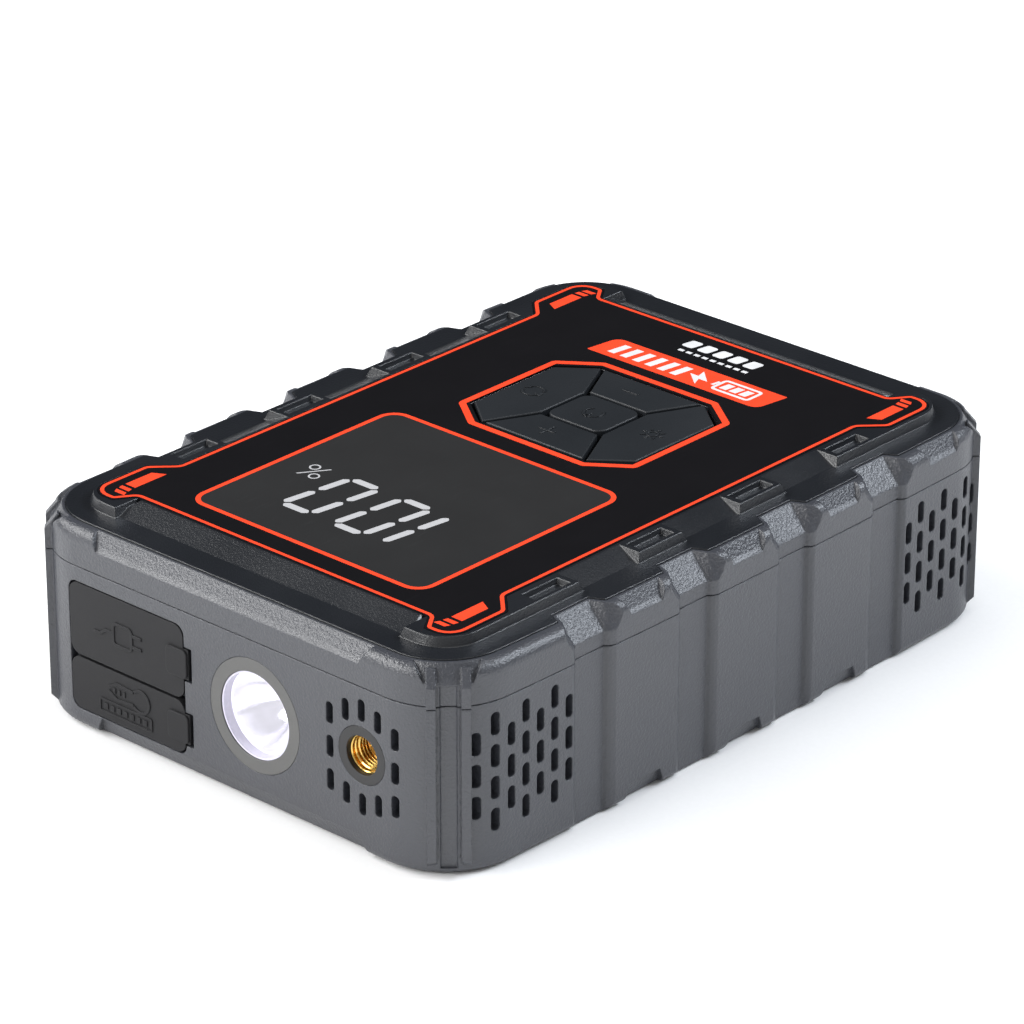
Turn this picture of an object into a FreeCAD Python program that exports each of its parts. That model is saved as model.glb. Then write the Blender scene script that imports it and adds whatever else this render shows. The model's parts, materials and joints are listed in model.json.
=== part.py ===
import FreeCAD, Part
import math
import os
import Sketcher
from FreeCAD import Placement, Rotation, Vector

# A cordless jump starter pack with a built-in tyre inflator, in millimetres.
# Origin: centre of the footprint, on the plane that the rubber feet stand on.
# +X is the right-hand side, -Y the front with the sockets and the torch, +Z up.

SIZES = {
    # Case outline: a rounded rectangle whose long sides bow outwards a little.
    "case_width": 130.0,
    "case_length": 182.6,
    "corner_radius": 18.2,
    "bow_radius": 2474.0,
    "wall": 2.6,
    "floor_thickness": 2.5,
    "foot_height": 0.5,
    "parting_height": 38.85,
    "parting_gap": 0.24,
    "tongue_height": 1.5,
    "tongue_inset": 1.9,
    "tongue_clearance": 0.05,
    "bottom_round": 1.8,
    "deck_bottom": 42.4,
    "deck_top": 44.3,
    "shell_top": 47.6,
    "shoulder_round": 2.8,
    "opening_inset": 3.5,
    "opening_clearance": 0.08,
    # Grip recesses along both long sides.
    "grip_pitch": 32.4,
    "grip_floor": 9.0,
    "grip_depth": 1.4,
    "grip_slope_start": 42.2,
    "grip_slope_inset": 6.2,
    "grip_top_floor": 10.0,
    "notch_mouth": 15.4,
    "notch_floor": 11.0,
    "notch_inset": 6.7,
    # Shallow pockets in the shoulder and at the bottom edge.
    "pocket_start": 43.7,
    "pocket_stand": 0.2,
    "pocket_ledge": 44.8,
    "pocket_low_inset": 0.9,
    "pocket_high_inset": 3.1,
    "corner_pocket_bottom": 4.9,
    "corner_pocket_top": 7.2,
    "side_pocket_top": 13.5,
    "side_pocket_bottom": 9.5,
    "end_pocket_offset": 68.0,
    "front_pocket_top": 82.0,
    "front_pocket_bottom": 77.0,
    "low_pocket_top": 4.5,
    "low_pocket_high_inset": 0.5,
    "low_pocket_low_inset": 2.4,
    # Corner ribs.
    "rib_width": 2.0,
    "rib_stand": 1.0,
    "rib_spread": 5.2,
    "rib_bottom": 2.0,
    "rib_ramp": 2.0,
    "rib_shoulder": 43.6,
    "rib_top": 46.9,
    "rib_root": 2.2,
    "rib_lean": 1.8,
    "channel_depth": 0.6,
    # Side vents: columns of three and of four slots, staggered.
    "vent_first": 56.0,
    "vent_pitch": 4.25,
    "vent_step": 7.3,
    "vent_height": 5.8,
    "vent_width": 2.2,
    "vent_low_three": 15.3,
    "vent_low_four": 11.7,
    # Air outlet and the slots round it.
    "outlet_across": 39.3,
    "outlet_height": 23.2,
    "front_vent_width": 2.0,
    "front_vent_height": 5.5,
    "front_vent_pitch": 4.55,
    "front_vent_step": 7.7,
    "front_vent_rise": 9.6,
    "front_vent_peak": 10.8,
    "ring_radius": 6.5,
    "ring_bore": 4.4,
    "ring_flange": 1.2,
    "ring_body_radius": 5.6,
    "ring_length": 8.0,
    "fitting_radius": 4.3,
    "fitting_bore": 3.9,
    "fitting_bevel": 0.2,
    "fitting_depth": 6.5,
    "fitting_length": 7.4,
    "fitting_inset": 1.1,
    "air_bore": 1.2,
    "barb_radius": 2.4,
    "barb_length": 4.5,
    # Torch.
    "torch_across": 8.4,
    "torch_height": 21.5,
    "bezel_radius": 13.0,
    "bezel_window": 10.0,
    "bezel_flange": 1.4,
    "bezel_body_radius": 11.6,
    "bezel_length": 9.0,
    "bezel_lip": 2.6,
    "seat_clearance": 0.1,
    "lens_radius": 11.0,
    "lens_thickness": 1.4,
    "reflector_depth": 12.0,
    "reflector_skin": 0.9,
    "reflector_bow": 17.6,
    "reflector_throat": 3.2,
    "reflector_mouth": 9.9,
    "lamp_board_radius": 8.0,
    "lamp_board_thickness": 1.6,
    "lamp_size": 3.4,
    "lamp_height": 1.2,
    # Port covers.
    "cover_left": -47.3,
    "cover_right": -12.7,
    "upper_cover_low": 18.0,
    "upper_cover_high": 35.0,
    "lower_cover_low": 5.0,
    "lower_cover_high": 17.3,
    "cover_radius": 2.5,
    "cover_thickness": 1.9,
    "cover_gap": 0.35,
    "cover_back_gap": 0.1,
    "port_recess": 2.0,
    "port_backing": 3.0,
    "tab_width": 5.0,
    "tab_height": 7.0,
    "tab_drop": 1.5,
    "finger_notch": 2.5,
    "plug_length": 1.6,
    # Sockets.
    "usb_a_centre": -36.0,
    "usb_a_width": 13.1,
    "usb_a_height": 5.7,
    "usb_a_depth": 14.0,
    "usb_c_centre": -19.5,
    "usb_c_width": 9.0,
    "usb_c_height": 3.3,
    "usb_c_depth": 8.0,
    "socket_wall": 0.4,
    "usb_height": 26.5,
    "jump_centre": -30.0,
    "jump_height": 11.2,
    "jump_width": 27.0,
    "jump_tall": 9.6,
    "jump_depth": 20.0,
    "bullet_spacing": 13.0,
    "bullet_bore": 2.55,
    "bullet_sleeve": 3.3,
    # Tray and label on top.
    "rim_top": 47.9,
    "plateau_top": 50.0,
    "label_bottom": 49.6,
    "label_top": 50.1,
    "valley_foot": 57.0,
    "valley_top": 48.7,
    "valley_run": 60.0,
    "ramp_foot": 84.0,
    "ramp_top": 75.6,
    "ramp_foot_width": 88.0,
    "ramp_top_width": 82.0,
    "pad_inner": 42.4,
    "pad_start": 50.0,
    "pad_end": 81.7,
    "pad_radius": 9.0,
    "finger_offset": 16.36,
    "finger_root": 44.0,
    "finger_foot": 55.6,
    "finger_tip": 54.5,
    "finger_foot_length": 16.4,
    "finger_length": 13.6,
    "slot_inner": 49.8,
    "slot_outer": 53.6,
    "slot_length": 11.0,
    "slot_depth": 1.3,
    "slot_taper": 0.5,
    "label_side": 48.0,
    "label_front": 75.0,
    "lobe_side": 53.2,
    "lobe_start": 57.2,
    "lobe_end": 79.4,
    "lobe_slant": 5.2,
    "lobe_inner": 42.8,
    "lobe_end_slant": 3.0,
    "lobe_radius": 5.0,
    "label_fit": 0.1,
    "window_half": 33.4,
    "window_front": -67.7,
    "window_rear": -5.3,
    "window_radius": 4.0,
    "window_thickness": 1.5,
    "window_edge": 0.2,
    # Keys.
    "keypad_half": 24.6,
    "keypad_front": 3.4,
    "keypad_rear": 44.5,
    "keypad_chamfer_across": 9.0,
    "keypad_chamfer_along": 6.6,
    "key_gap": 0.35,
    "key_margin": 0.8,
    "key_parting": 0.6,
    "key_corner": 0.9,
    "key_top": 50.2,
    "key_bottom": 47.6,
    "centre_key_half": 8.2,
    "centre_key_along": 7.2,
    "centre_key_round": 2.8,
    "centre_key_channel": 1.0,
    "web_top": 45.6,
    # Display and control board.
    "display_top": 48.2,
    "display_margin": 2.0,
    "control_board_top": 42.3,
    "board_thickness": 1.6,
    "control_half": 30.0,
    "control_front": -66.0,
    "control_rear": 50.0,
    "switch_size": 6.0,
    "switch_height": 2.0,
    "plunger_radius": 1.6,
    "plunger_gap": 0.9,
    # Battery.
    "cell_width": 108.0,
    "cell_front": 10.0,
    "cell_rear": 72.0,
    "cell_thickness": 8.0,
    "cell_gap": 0.4,
    "cell_bottom": 3.6,
    "cell_tab_width": 14.0,
    "cell_tab_length": 3.0,
    "cell_tab_thickness": 0.3,
    "strap_width": 18.0,
    "strap_thickness": 0.6,
    "strap_clearance": 0.1,
    "cell_board_height": 30.0,
    "cell_board_width": 90.0,
    "cell_board_front": 6.0,
    # Main board.
    "board_left": -58.0,
    "board_right": -6.0,
    "board_front": -82.0,
    "board_rear": 2.0,
    "board_top": 23.6,
    "post_radius": 3.0,
    "post_hole": 1.0,
    "post_inset": 4.0,
    "board_hole_clearance": 0.15,
    "board_screw_length": 7.0,
    "board_screw_clearance": 0.03,
    "board_screw_head": 1.2,
    "relay_width": 28.0,
    "relay_length": 16.0,
    "relay_height": 14.0,
    "coil_size": 10.0,
    "coil_height": 5.0,
    "coil_pitch": 14.0,
    "capacitor_radius": 4.0,
    "capacitor_height": 12.0,
    "capacitor_pitch": 9.0,
    # Inflator.
    "motor_radius": 12.0,
    "motor_length": 30.0,
    "motor_along": -12.0,
    "motor_cap_radius": 4.5,
    "motor_cap_length": 2.0,
    "shaft_radius": 1.15,
    "shaft_length": 12.0,
    "gear_module": 0.5,
    "pinion_teeth": 12.0,
    "crank_teeth": 60.0,
    "pinion_length": 5.0,
    "crank_gear_thickness": 3.5,
    "gear_backlash": 0.12,
    "crank_bore": 2.0,
    "crank_radius": 6.0,
    "crank_pin_radius": 1.5,
    "crank_pin_length": 3.0,
    "weight_near": 3.0,
    "weight_far": 11.0,
    "weight_height": 14.0,
    "frame_left": 24.5,
    "frame_thickness": 2.5,
    "frame_collar": 5.0,
    "frame_margin": 2.0,
    "rod_width": 6.0,
    "rod_thickness": 3.0,
    "rod_length": 24.0,
    "rod_clearance": 0.5,
    "big_end_radius": 4.5,
    "piston_radius": 9.0,
    "piston_length": 7.0,
    "cylinder_wall": 2.0,
    "piston_clearance": 0.05,
    "head_thickness": 4.0,
    "nozzle_radius": 1.8,
    "hose_radius": 3.2,
    # Fasteners and feet.
    "case_screw_across": 52.0,
    "case_screw_along": 78.0,
    "screw_boss_radius": 3.8,
    "screw_radius": 1.5,
    "screw_head_radius": 2.8,
    "screw_head_height": 2.2,
    "screw_seat": 6.0,
    "screw_length": 18.0,
    "screw_reach": 8.0,
    "screw_socket_radius": 1.05,
    "screw_socket_floor": 0.88,
    "boss_meet": 20.0,
    "foot_radius": 5.0,
    "foot_recess": 1.0,
    "foot_across": 40.0,
    "foot_along": 70.0,
}

doc = FreeCAD.newDocument("jump_starter")
sheet = doc.addObject("Spreadsheet::Sheet", "dims")


class Length:
    """A size known both as a number and as the formula that ties it to the sheet."""

    def __init__(self, value, text):
        self.value = value
        self.text = text

    def join(self, other, sign, value):
        return Length(value, f"({self.text} {sign} {text_of(other)})")

    def __add__(self, other):
        return self.join(other, "+", self.value + number(other))

    def __sub__(self, other):
        return self.join(other, "-", self.value - number(other))

    def __mul__(self, other):
        return self.join(other, "*", self.value * number(other))

    def __truediv__(self, other):
        return self.join(other, "/", self.value / number(other))

    def __neg__(self):
        return Length(-self.value, f"(0 - {self.text})")

    def __radd__(self, other):
        return Length(other, repr(float(other))) + self

    def __rmul__(self, other):
        return Length(other, repr(float(other))) * self

    def __rsub__(self, other):
        return Length(other, repr(float(other))) - self


def number(length):
    return length.value if isinstance(length, Length) else float(length)


def text_of(length):
    return length.text if isinstance(length, Length) else repr(float(length))


class Sheet:
    """The spreadsheet's sizes as attributes, such as dims.case_width."""

    def __init__(self, sizes):
        for row, (name, value) in enumerate(sizes.items(), start=1):
            sheet.set(f"A{row}", name)
            sheet.set(f"B{row}", repr(value))
            sheet.setAlias(f"B{row}", name)
            setattr(self, name, Length(value, f"dims.{name}"))


dims = Sheet(SIZES)
doc.recompute()
parts = {}

HALF = 0.5
SLOT_END_ROUNDNESS = 1.03
VENT_COLUMNS = 7
FULL_TURN = 360.0
QUARTER_TURN = 90.0
# How close an edge's middle lies to a level to count as being on it.
NEAR = 0.01
CELL_COUNT = 4
# Half a regular octagon's side over its inner radius.
EIGHTH_SLOPE = math.sqrt(2) - 1
CHANNEL_FLOOR_SHARE = 0.6
LEDGE_SHARE = 0.2
KEY_CENTRE_SHARE = 0.62
TONGUE_SHARE = 0.75
UP = Vector(0, 0, 1)
RIGHT = Vector(1, 0, 0)
BACK = Vector(0, 1, 0)
# Turns that stand a sketch up: facing the front, and facing a side.
FACING_FRONT = Rotation(RIGHT, 90)
FACING_SIDE = Rotation(Vector(1, 1, 1), 120)
# Turns that carry a solid's own Z axis onto the named direction.
TURNS = {
    "x": Rotation(Vector(0, 1, 0), 90),
    "y": Rotation(Vector(1, 0, 0), -90),
    "z": Rotation(),
}
# Turns for a wedge, which tapers along its own Y axis.
WEDGE_TURNS = {
    "x": Rotation(Vector(1, 1, 0), 180),
    "y": Rotation(),
    "z": Rotation(Vector(1, 0, 0), 90),
}


def root(length):
    return Length(math.sqrt(length.value), f"sqrt({length.text})")


def around(centre, width):
    """The two ends of a stretch of this width about its centre."""
    return centre - width * HALF, centre + width * HALF


def bind(item, **lengths):
    for name, length in lengths.items():
        if isinstance(length, Length):
            item.setExpression(name, length.text)
        else:
            setattr(item, name, length)


def place(item, spot, turn=None):
    item.Placement = Placement(Vector(*(number(length) for length in spot)), turn or Rotation())
    for axis, length in zip("xyz", spot):
        if isinstance(length, Length):
            item.setExpression(f"Placement.Base.{axis}", length.text)
    return item


def box(name, x, y, z):
    item = doc.addObject("Part::Box", name)
    bind(item, Length=x[1] - x[0], Width=y[1] - y[0], Height=z[1] - z[0])
    return place(item, (x[0], y[0], z[0]))


def rod(name, radius, spot, length, axis="z"):
    item = doc.addObject("Part::Cylinder", name)
    bind(item, Radius=radius, Height=length)
    return place(item, spot, TURNS[axis])


def frustum(name, axis, *ends):
    """A tapered block. Each end is (place along the axis, (u0, u1), (v0, v1)), in X, Y, Z order."""
    low, high = sorted(ends, key=lambda end: number(end[0]))
    item = doc.addObject("Part::Wedge", name)
    if axis != "y":
        low = (low[0], low[1], (-low[2][1], -low[2][0]))
        high = (high[0], high[1], (-high[2][1], -high[2][0]))
    bind(item, Xmin=low[1][0], Xmax=low[1][1], Zmin=low[2][0], Zmax=low[2][1], Ymin=low[0])
    bind(item, X2min=high[1][0], X2max=high[1][1], Z2min=high[2][0], Z2max=high[2][1], Ymax=high[0])
    item.Placement = Placement(Vector(), WEDGE_TURNS[axis])
    return item


def arc(start, end, radius):
    """An arc from start to end whose centre is on its left for a radius above nought, else on its right."""
    chord = end - start
    left = Vector(-chord.y, chord.x, 0).normalize()
    rise = math.sqrt(max(radius * radius - chord.Length * chord.Length / 4, 0))
    centre = (start + end) * HALF + left * math.copysign(rise, radius)
    first, last = (start, end) if radius > 0 else (end, start)
    circle = Part.Circle(centre, UP, abs(radius))
    angles = [math.atan2(point.y - centre.y, point.x - centre.x) for point in (first, last)]
    return Part.ArcOfCircle(circle, *angles)


def draw(sketch, path):
    """Adds a closed outline: corners (u, v), or (u, v, radius) where an arc runs to the next corner."""
    points = [Vector(number(corner[0]), number(corner[1]), 0) for corner in path]
    first = sketch.GeometryCount
    pieces = []
    for index, corner in enumerate(path):
        start = points[index]
        end = points[(index + 1) % len(path)]
        curved = len(corner) > 2
        pieces.append(arc(start, end, number(corner[2])) if curved else Part.LineSegment(start, end))
    sketch.addGeometry(pieces, False)
    rules = []
    formulas = []
    for index, corner in enumerate(path):
        backwards = len(corner) > 2 and number(corner[2]) < 0
        after = path[(index + 1) % len(path)]
        after_backwards = len(after) > 2 and number(after[2]) < 0
        start, end = (2, 1) if backwards else (1, 2)
        here = first + index
        there = first + (index + 1) % len(path)
        rules.append(Sketcher.Constraint("Coincident", here, end, there, 2 if after_backwards else 1))
        formulas.append(None)
        rules.append(Sketcher.Constraint("DistanceX", -1, 1, here, start, number(corner[0])))
        formulas.append(corner[0])
        rules.append(Sketcher.Constraint("DistanceY", -1, 1, here, start, number(corner[1])))
        formulas.append(corner[1])
        if len(corner) > 2:
            rules.append(Sketcher.Constraint("Radius", here, abs(number(corner[2]))))
            formulas.append(-corner[2] if backwards else corner[2])
    constrain(sketch, rules, formulas)


def constrain(sketch, rules, formulas):
    first = sketch.ConstraintCount
    sketch.addConstraint(rules)
    for index, formula in enumerate(formulas, start=first):
        if isinstance(formula, Length):
            sketch.setExpression(f"Constraints[{index}]", formula.text)


def outline(name, *paths, height=0.0):
    sketch = doc.addObject("Sketcher::SketchObject", name)
    for path in paths:
        draw(sketch, path)
    return place(sketch, (0.0, 0.0, height))


def prism(name, z, *paths):
    """An upright prism on one or more closed outlines; an outline inside another is a hole."""
    sketch = outline(f"{name}_outline", *paths, height=z[0])
    return extrude(name, sketch, UP, z[1] - z[0])


def extrude(name, sketch, direction, length, both_ways=False):
    item = doc.addObject("Part::Extrusion", name)
    item.Base = sketch
    item.DirMode = "Custom"
    item.Dir = direction
    item.Solid = True
    item.Symmetric = both_ways
    item.FaceMakerClass = "Part::FaceMakerBullseye"
    bind(item, LengthFwd=length)
    return item


def loft(name, *levels):
    """A ruled solid through outlines, each given as (height, path)."""
    item = doc.addObject("Part::Loft", name)
    item.Sections = [
        outline(f"{name}_level_{index}", path, height=height)
        for index, (height, path) in enumerate(levels)
    ]
    item.Solid = True
    item.Ruled = True
    return item


def mirror(name, source, normal):
    item = doc.addObject("Part::Mirroring", name)
    item.Source = source
    item.Normal = normal
    return item


def fuse(name, *items):
    item = doc.addObject("Part::MultiFuse", name)
    item.Shapes = list(items)
    return item


def cut(name, base, *tools):
    item = doc.addObject("Part::Cut", name)
    item.Base = base
    item.Tool = tools[0] if len(tools) == 1 else fuse(f"{name}_tools", *tools)
    return item


def group(name, *items):
    item = doc.addObject("Part::Compound", name)
    item.Links = list(items)
    return item


def round_edges(name, base, radius, chosen):
    """Rounds the edges whose middle passes the test."""
    doc.recompute()
    item = doc.addObject("Part::Fillet", name)
    item.Base = base
    numbers = [
        index
        for index, edge in enumerate(base.Shape.Edges, start=1)
        if chosen(edge.CenterOfMass)
    ]
    item.Edges = [(index, number(radius), number(radius)) for index in numbers]
    return item


def origin_plane(body, role):
    return next(item for item in body.Origin.OriginFeatures if item.Role == role)


def body_sketch(body, name, role):
    sketch = body.newObject("Sketcher::SketchObject", name)
    sketch.AttachmentSupport = (origin_plane(body, role), [""])
    sketch.MapMode = "FlatFace"
    return sketch


def padded(label, z, *paths):
    """A body padded up from an outline."""
    body = doc.addObject("PartDesign::Body", label)
    sketch = body_sketch(body, f"{label}_sketch", "XY_Plane")
    for path in paths:
        draw(sketch, path)
    pad = body.newObject("PartDesign::Pad", f"{label}_pad")
    pad.Profile = sketch
    bind(pad, Length=z[1] - z[0])
    return place(body, (0.0, 0.0, z[0]))


def turned(label, path, spot, axis="y"):
    """A body turned on a lathe: path holds (radius, distance along the axis)."""
    body = doc.addObject("PartDesign::Body", label)
    sketch = body_sketch(body, f"{label}_sketch", "XZ_Plane")
    draw(sketch, path)
    revolution = body.newObject("PartDesign::Revolution", f"{label}_revolution")
    revolution.Profile = sketch
    revolution.ReferenceAxis = (sketch, ["V_Axis"])
    revolution.Angle = FULL_TURN
    return place(body, spot, TURNS[axis])


def soften(body, radius, chosen):
    """Adds a fillet to a body, on the edges whose middle passes the test."""
    doc.recompute()
    base = body.Tip
    names = [
        f"Edge{index}"
        for index, edge in enumerate(base.Shape.Edges, start=1)
        if chosen(edge.CenterOfMass)
    ]
    fillet = body.newObject("PartDesign::Fillet", f"{body.Name}_fillet")
    fillet.Base = (base, names)
    bind(fillet, Radius=radius)
    body.Tip = fillet
    return body


def keep(label, item):
    item.Label = label
    parts[label] = item
    return item


def rectangle(u, v):
    return [(u[0], v[0]), (u[1], v[0]), (u[1], v[1]), (u[0], v[1])]


def rounded_rectangle(u, v, radius):
    return [
        (u[0] + radius, v[0]),
        (u[1] - radius, v[0], radius),
        (u[1], v[0] + radius),
        (u[1], v[1] - radius, radius),
        (u[1] - radius, v[1]),
        (u[0] + radius, v[1], radius),
        (u[0], v[1] - radius),
        (u[0], v[0] + radius, radius),
    ]


def upright_slot(u, v, width, height):
    """A slot with round ends, centred on (u, v)."""
    side = width * HALF
    reach = height * HALF - side
    end = side * SLOT_END_ROUNDNESS
    return [
        (u + side, v - reach),
        (u + side, v + reach, end),
        (u - side, v + reach),
        (u - side, v - reach, end),
    ]


SIDES = (-1, 1)
CORNERS = [(across, along) for across in SIDES for along in SIDES]
BOTTOM = dims.foot_height
FRONT = -dims.case_length / 2
PARTING_LOW = dims.parting_height - dims.parting_gap / 2
PARTING_HIGH = dims.parting_height + dims.parting_gap / 2
TONGUE_TOP = dims.parting_height + dims.tongue_height
FLOOR_TOP = dims.foot_height + dims.floor_thickness
GRIP_PLACES = [index * dims.grip_pitch / 2 for index in (-3, -1, 1, 3)]
# How a grip's side wall opens out from its floor, and how deep it lies at each of those steps.
GRIP_SPREADS = (0.0, 0.55, 1.25, 3.0, 6.0)
GRIP_WALL = (dims.grip_depth, 0.7, 0.25, -0.35, -dims.grip_depth)
GRIP_TOP_WALL = (dims.grip_slope_inset, 5.0, 3.2, 1.2, -dims.grip_depth)
DIAGONAL = math.sqrt(HALF)
SPARE = 1.0


def bow_drop(along):
    """How far the bowed side falls back from its widest point, at this distance along the case."""
    return along * along / (2 * dims.bow_radius)


def case_outline(inset):
    """The case's plan outline, drawn in by inset: straight ends, round corners, bowed sides."""
    straight = dims.case_length / 2 - dims.corner_radius
    reach = dims.bow_radius - dims.corner_radius
    bow_centre = dims.case_width / 2 - dims.bow_radius
    spread = root(reach * reach - straight * straight)
    radius = dims.corner_radius - inset
    bow = dims.bow_radius - inset
    end = dims.case_length / 2 - inset
    corner = bow_centre + spread
    side = bow_centre + spread * bow / reach
    start = straight * bow / reach
    return [
        (side, -start, bow),
        (side, start, radius),
        (corner, end),
        (-corner, end, radius),
        (-side, start, bow),
        (-side, -start, radius),
        (-corner, -end),
        (corner, -end, radius),
    ]


def grip_tools(name, levels):
    """The recesses along both sides.

    Each level is (height, width at the floor, five depths out to the mouth).
    """
    tools = []
    for side in SIDES:
        for index, along in enumerate(GRIP_PLACES):
            surface = dims.case_width / 2 - bow_drop(along)
            sections = []
            for height, floor, depths in levels:
                wall = [
                    ((surface - depth) * side, floor / 2 + spread)
                    for depth, spread in zip(depths, GRIP_SPREADS)
                ]
                near = [(out, along - half) for out, half in wall]
                far = [(out, along + half) for out, half in reversed(wall)]
                sections.append((height, near + far))
            tools.append(loft(f"{name}_{'left' if side < 0 else 'right'}_{index}", *sections))
    return tools


def corner_path(across, along, pairs):
    """A plan outline at a corner. Pairs are (distance round the corner, distance out from its centre)."""
    straight = dims.case_length / 2 - dims.corner_radius
    reach = dims.bow_radius - dims.corner_radius
    corner = dims.case_width / 2 - dims.bow_radius + root(reach * reach - straight * straight)
    return [
        (
            (corner + (out - round_it) * DIAGONAL) * across,
            (straight + (out + round_it) * DIAGONAL) * along,
        )
        for round_it, out in pairs
    ]


def corner_ribs(name, levels):
    """Two upright ribs at each corner. Each level is (height, distance out from the corner's centre)."""
    ribs = []
    inner = dims.corner_radius - dims.rib_root
    near = dims.rib_spread / 2
    far = near + dims.rib_width
    for index, (across, along) in enumerate(CORNERS):
        for side in SIDES:
            sections = []
            for height, out in levels:
                pairs = [(near * side, inner), (far * side, inner), (far * side, out), (near * side, out)]
                sections.append((height, corner_path(across, along, pairs)))
            ribs.append(loft(f"{name}_{index}_{'a' if side < 0 else 'b'}", *sections))
    return ribs


def corner_channels(name, z):
    """The flat-bottomed channel between each pair of ribs."""
    tools = []
    out = dims.corner_radius + dims.rib_stand
    deep = dims.corner_radius - dims.channel_depth
    wide = dims.rib_spread / 2
    floor = wide * CHANNEL_FLOOR_SHARE
    pairs = [(-floor, deep), (-wide, out), (wide, out), (floor, deep)]
    for index, (across, along) in enumerate(CORNERS):
        tools.append(prism(f"{name}_{index}", z, corner_path(across, along, pairs)))
    return tools


def side_pockets(name, levels):
    """Flats in the shoulder: one on each raised panel and one long one at each end.

    Each level is (height, how far in, how far the length has grown from the bottom's to the top's).
    """
    tools = []
    offsets = [0.0, dims.grip_pitch, -dims.grip_pitch, dims.end_pocket_offset, -dims.end_pocket_offset]
    end = dims.case_length / 2
    side_growth = dims.side_pocket_top - dims.side_pocket_bottom
    end_growth = dims.front_pocket_top - dims.front_pocket_bottom
    for side in SIDES:
        for index, along in enumerate(offsets):
            surface = dims.case_width / 2 - bow_drop(along) if index else dims.case_width / 2
            sections = []
            for height, inset, share in levels:
                across = ((surface - inset) * side, (surface + SPARE) * side)
                length = dims.side_pocket_bottom + side_growth * share
                sections.append((height, rectangle(across, around(along, length))))
            tools.append(loft(f"{name}_{'left' if side < 0 else 'right'}_{index}", *sections))
        sections = []
        for height, inset, share in levels:
            along = ((end - inset) * side, (end + SPARE) * side)
            length = dims.front_pocket_bottom + end_growth * share
            sections.append((height, rectangle(around(0.0, length), along)))
        tools.append(loft(f"{name}_end_{'front' if side < 0 else 'rear'}", *sections))
    return tools


def corner_pockets(name, levels):
    """A curved flat in the shoulder round each corner.

    Each level is (height, how far in, half its width).
    """
    tools = []
    out = dims.corner_radius + dims.rib_stand
    for index, (across, along) in enumerate(CORNERS):
        sections = []
        for height, inset, wide in levels:
            radius = dims.corner_radius - inset
            reach = root(radius * radius - wide * wide)
            path = corner_path(across, along, [(-wide, reach), (wide, reach), (wide, out), (-wide, out)])
            path[0] = (*path[0], radius * (across * along))
            sections.append((height, path))
        tools.append(loft(f"{name}_{index}", *sections))
    return tools


def side_vents():
    """Staggered slots through both long sides, near the front and, mirrored, near the rear."""
    columns = []
    for column in range(VENT_COLUMNS):
        count, low = (3, dims.vent_low_three) if column % 2 == 0 else (4, dims.vent_low_four)
        along = -dims.vent_first - dims.vent_pitch * column
        sketch = doc.addObject("Sketcher::SketchObject", f"side_vent_outline_{column}")
        for row in range(count):
            draw(sketch, upright_slot(along, low + dims.vent_step * row, dims.vent_width, dims.vent_height))
        sketch.Placement = Placement(Vector(), FACING_SIDE)
        columns.append(extrude(
            f"side_vents_{column}", sketch, RIGHT, dims.case_width + SPARE * 2, both_ways=True
        ))
    front = group("side_vents_front", *columns)
    return [front, mirror("side_vents_rear", front, BACK)]


def front_sketch(name, *paths):
    """A sketch on the upright plane of X and Z, just in front of the case."""
    sketch = doc.addObject("Sketcher::SketchObject", name)
    for path in paths:
        draw(sketch, path)
    return place(sketch, (0.0, FRONT - SPARE, 0.0), FACING_FRONT)


def front_vents():
    """A ring of slots round the air outlet."""
    width, height = dims.front_vent_width, dims.front_vent_height
    across, middle = dims.outlet_across, dims.outlet_height
    pitch, step, rise = dims.front_vent_pitch, dims.front_vent_step, dims.front_vent_rise
    columns = []
    for offset, drop, reaches in (
        (-2, SPARE, (-step, 0.0, step)),
        (-1, SPARE / 2, (-rise, rise)),
        (0, SPARE / 2, (-dims.front_vent_peak, dims.front_vent_peak)),
        (1, SPARE / 2, (-rise, rise)),
        (2, SPARE, (-step, 0.0, step)),
    ):
        column = across + pitch * offset
        paths = [upright_slot(column, middle - drop + reach, width, height) for reach in reaches]
        sketch = front_sketch(f"front_vent_outline_{offset + 2}", *paths)
        columns.append(extrude(f"front_vents_{offset + 2}", sketch, BACK, SPARE + dims.wall * 2))
    return group("front_vents", *columns)


COVER_ACROSS = (dims.cover_left, dims.cover_right)
UPPER_COVER = (dims.upper_cover_low, dims.upper_cover_high)
LOWER_COVER = (dims.lower_cover_low, dims.lower_cover_high)
TAB_RIGHT = dims.cover_right + dims.tab_drop
PORT_BACK = FRONT + dims.port_recess + dims.port_backing


def widened(span, gap):
    return span[0] - gap, span[1] + gap


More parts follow.
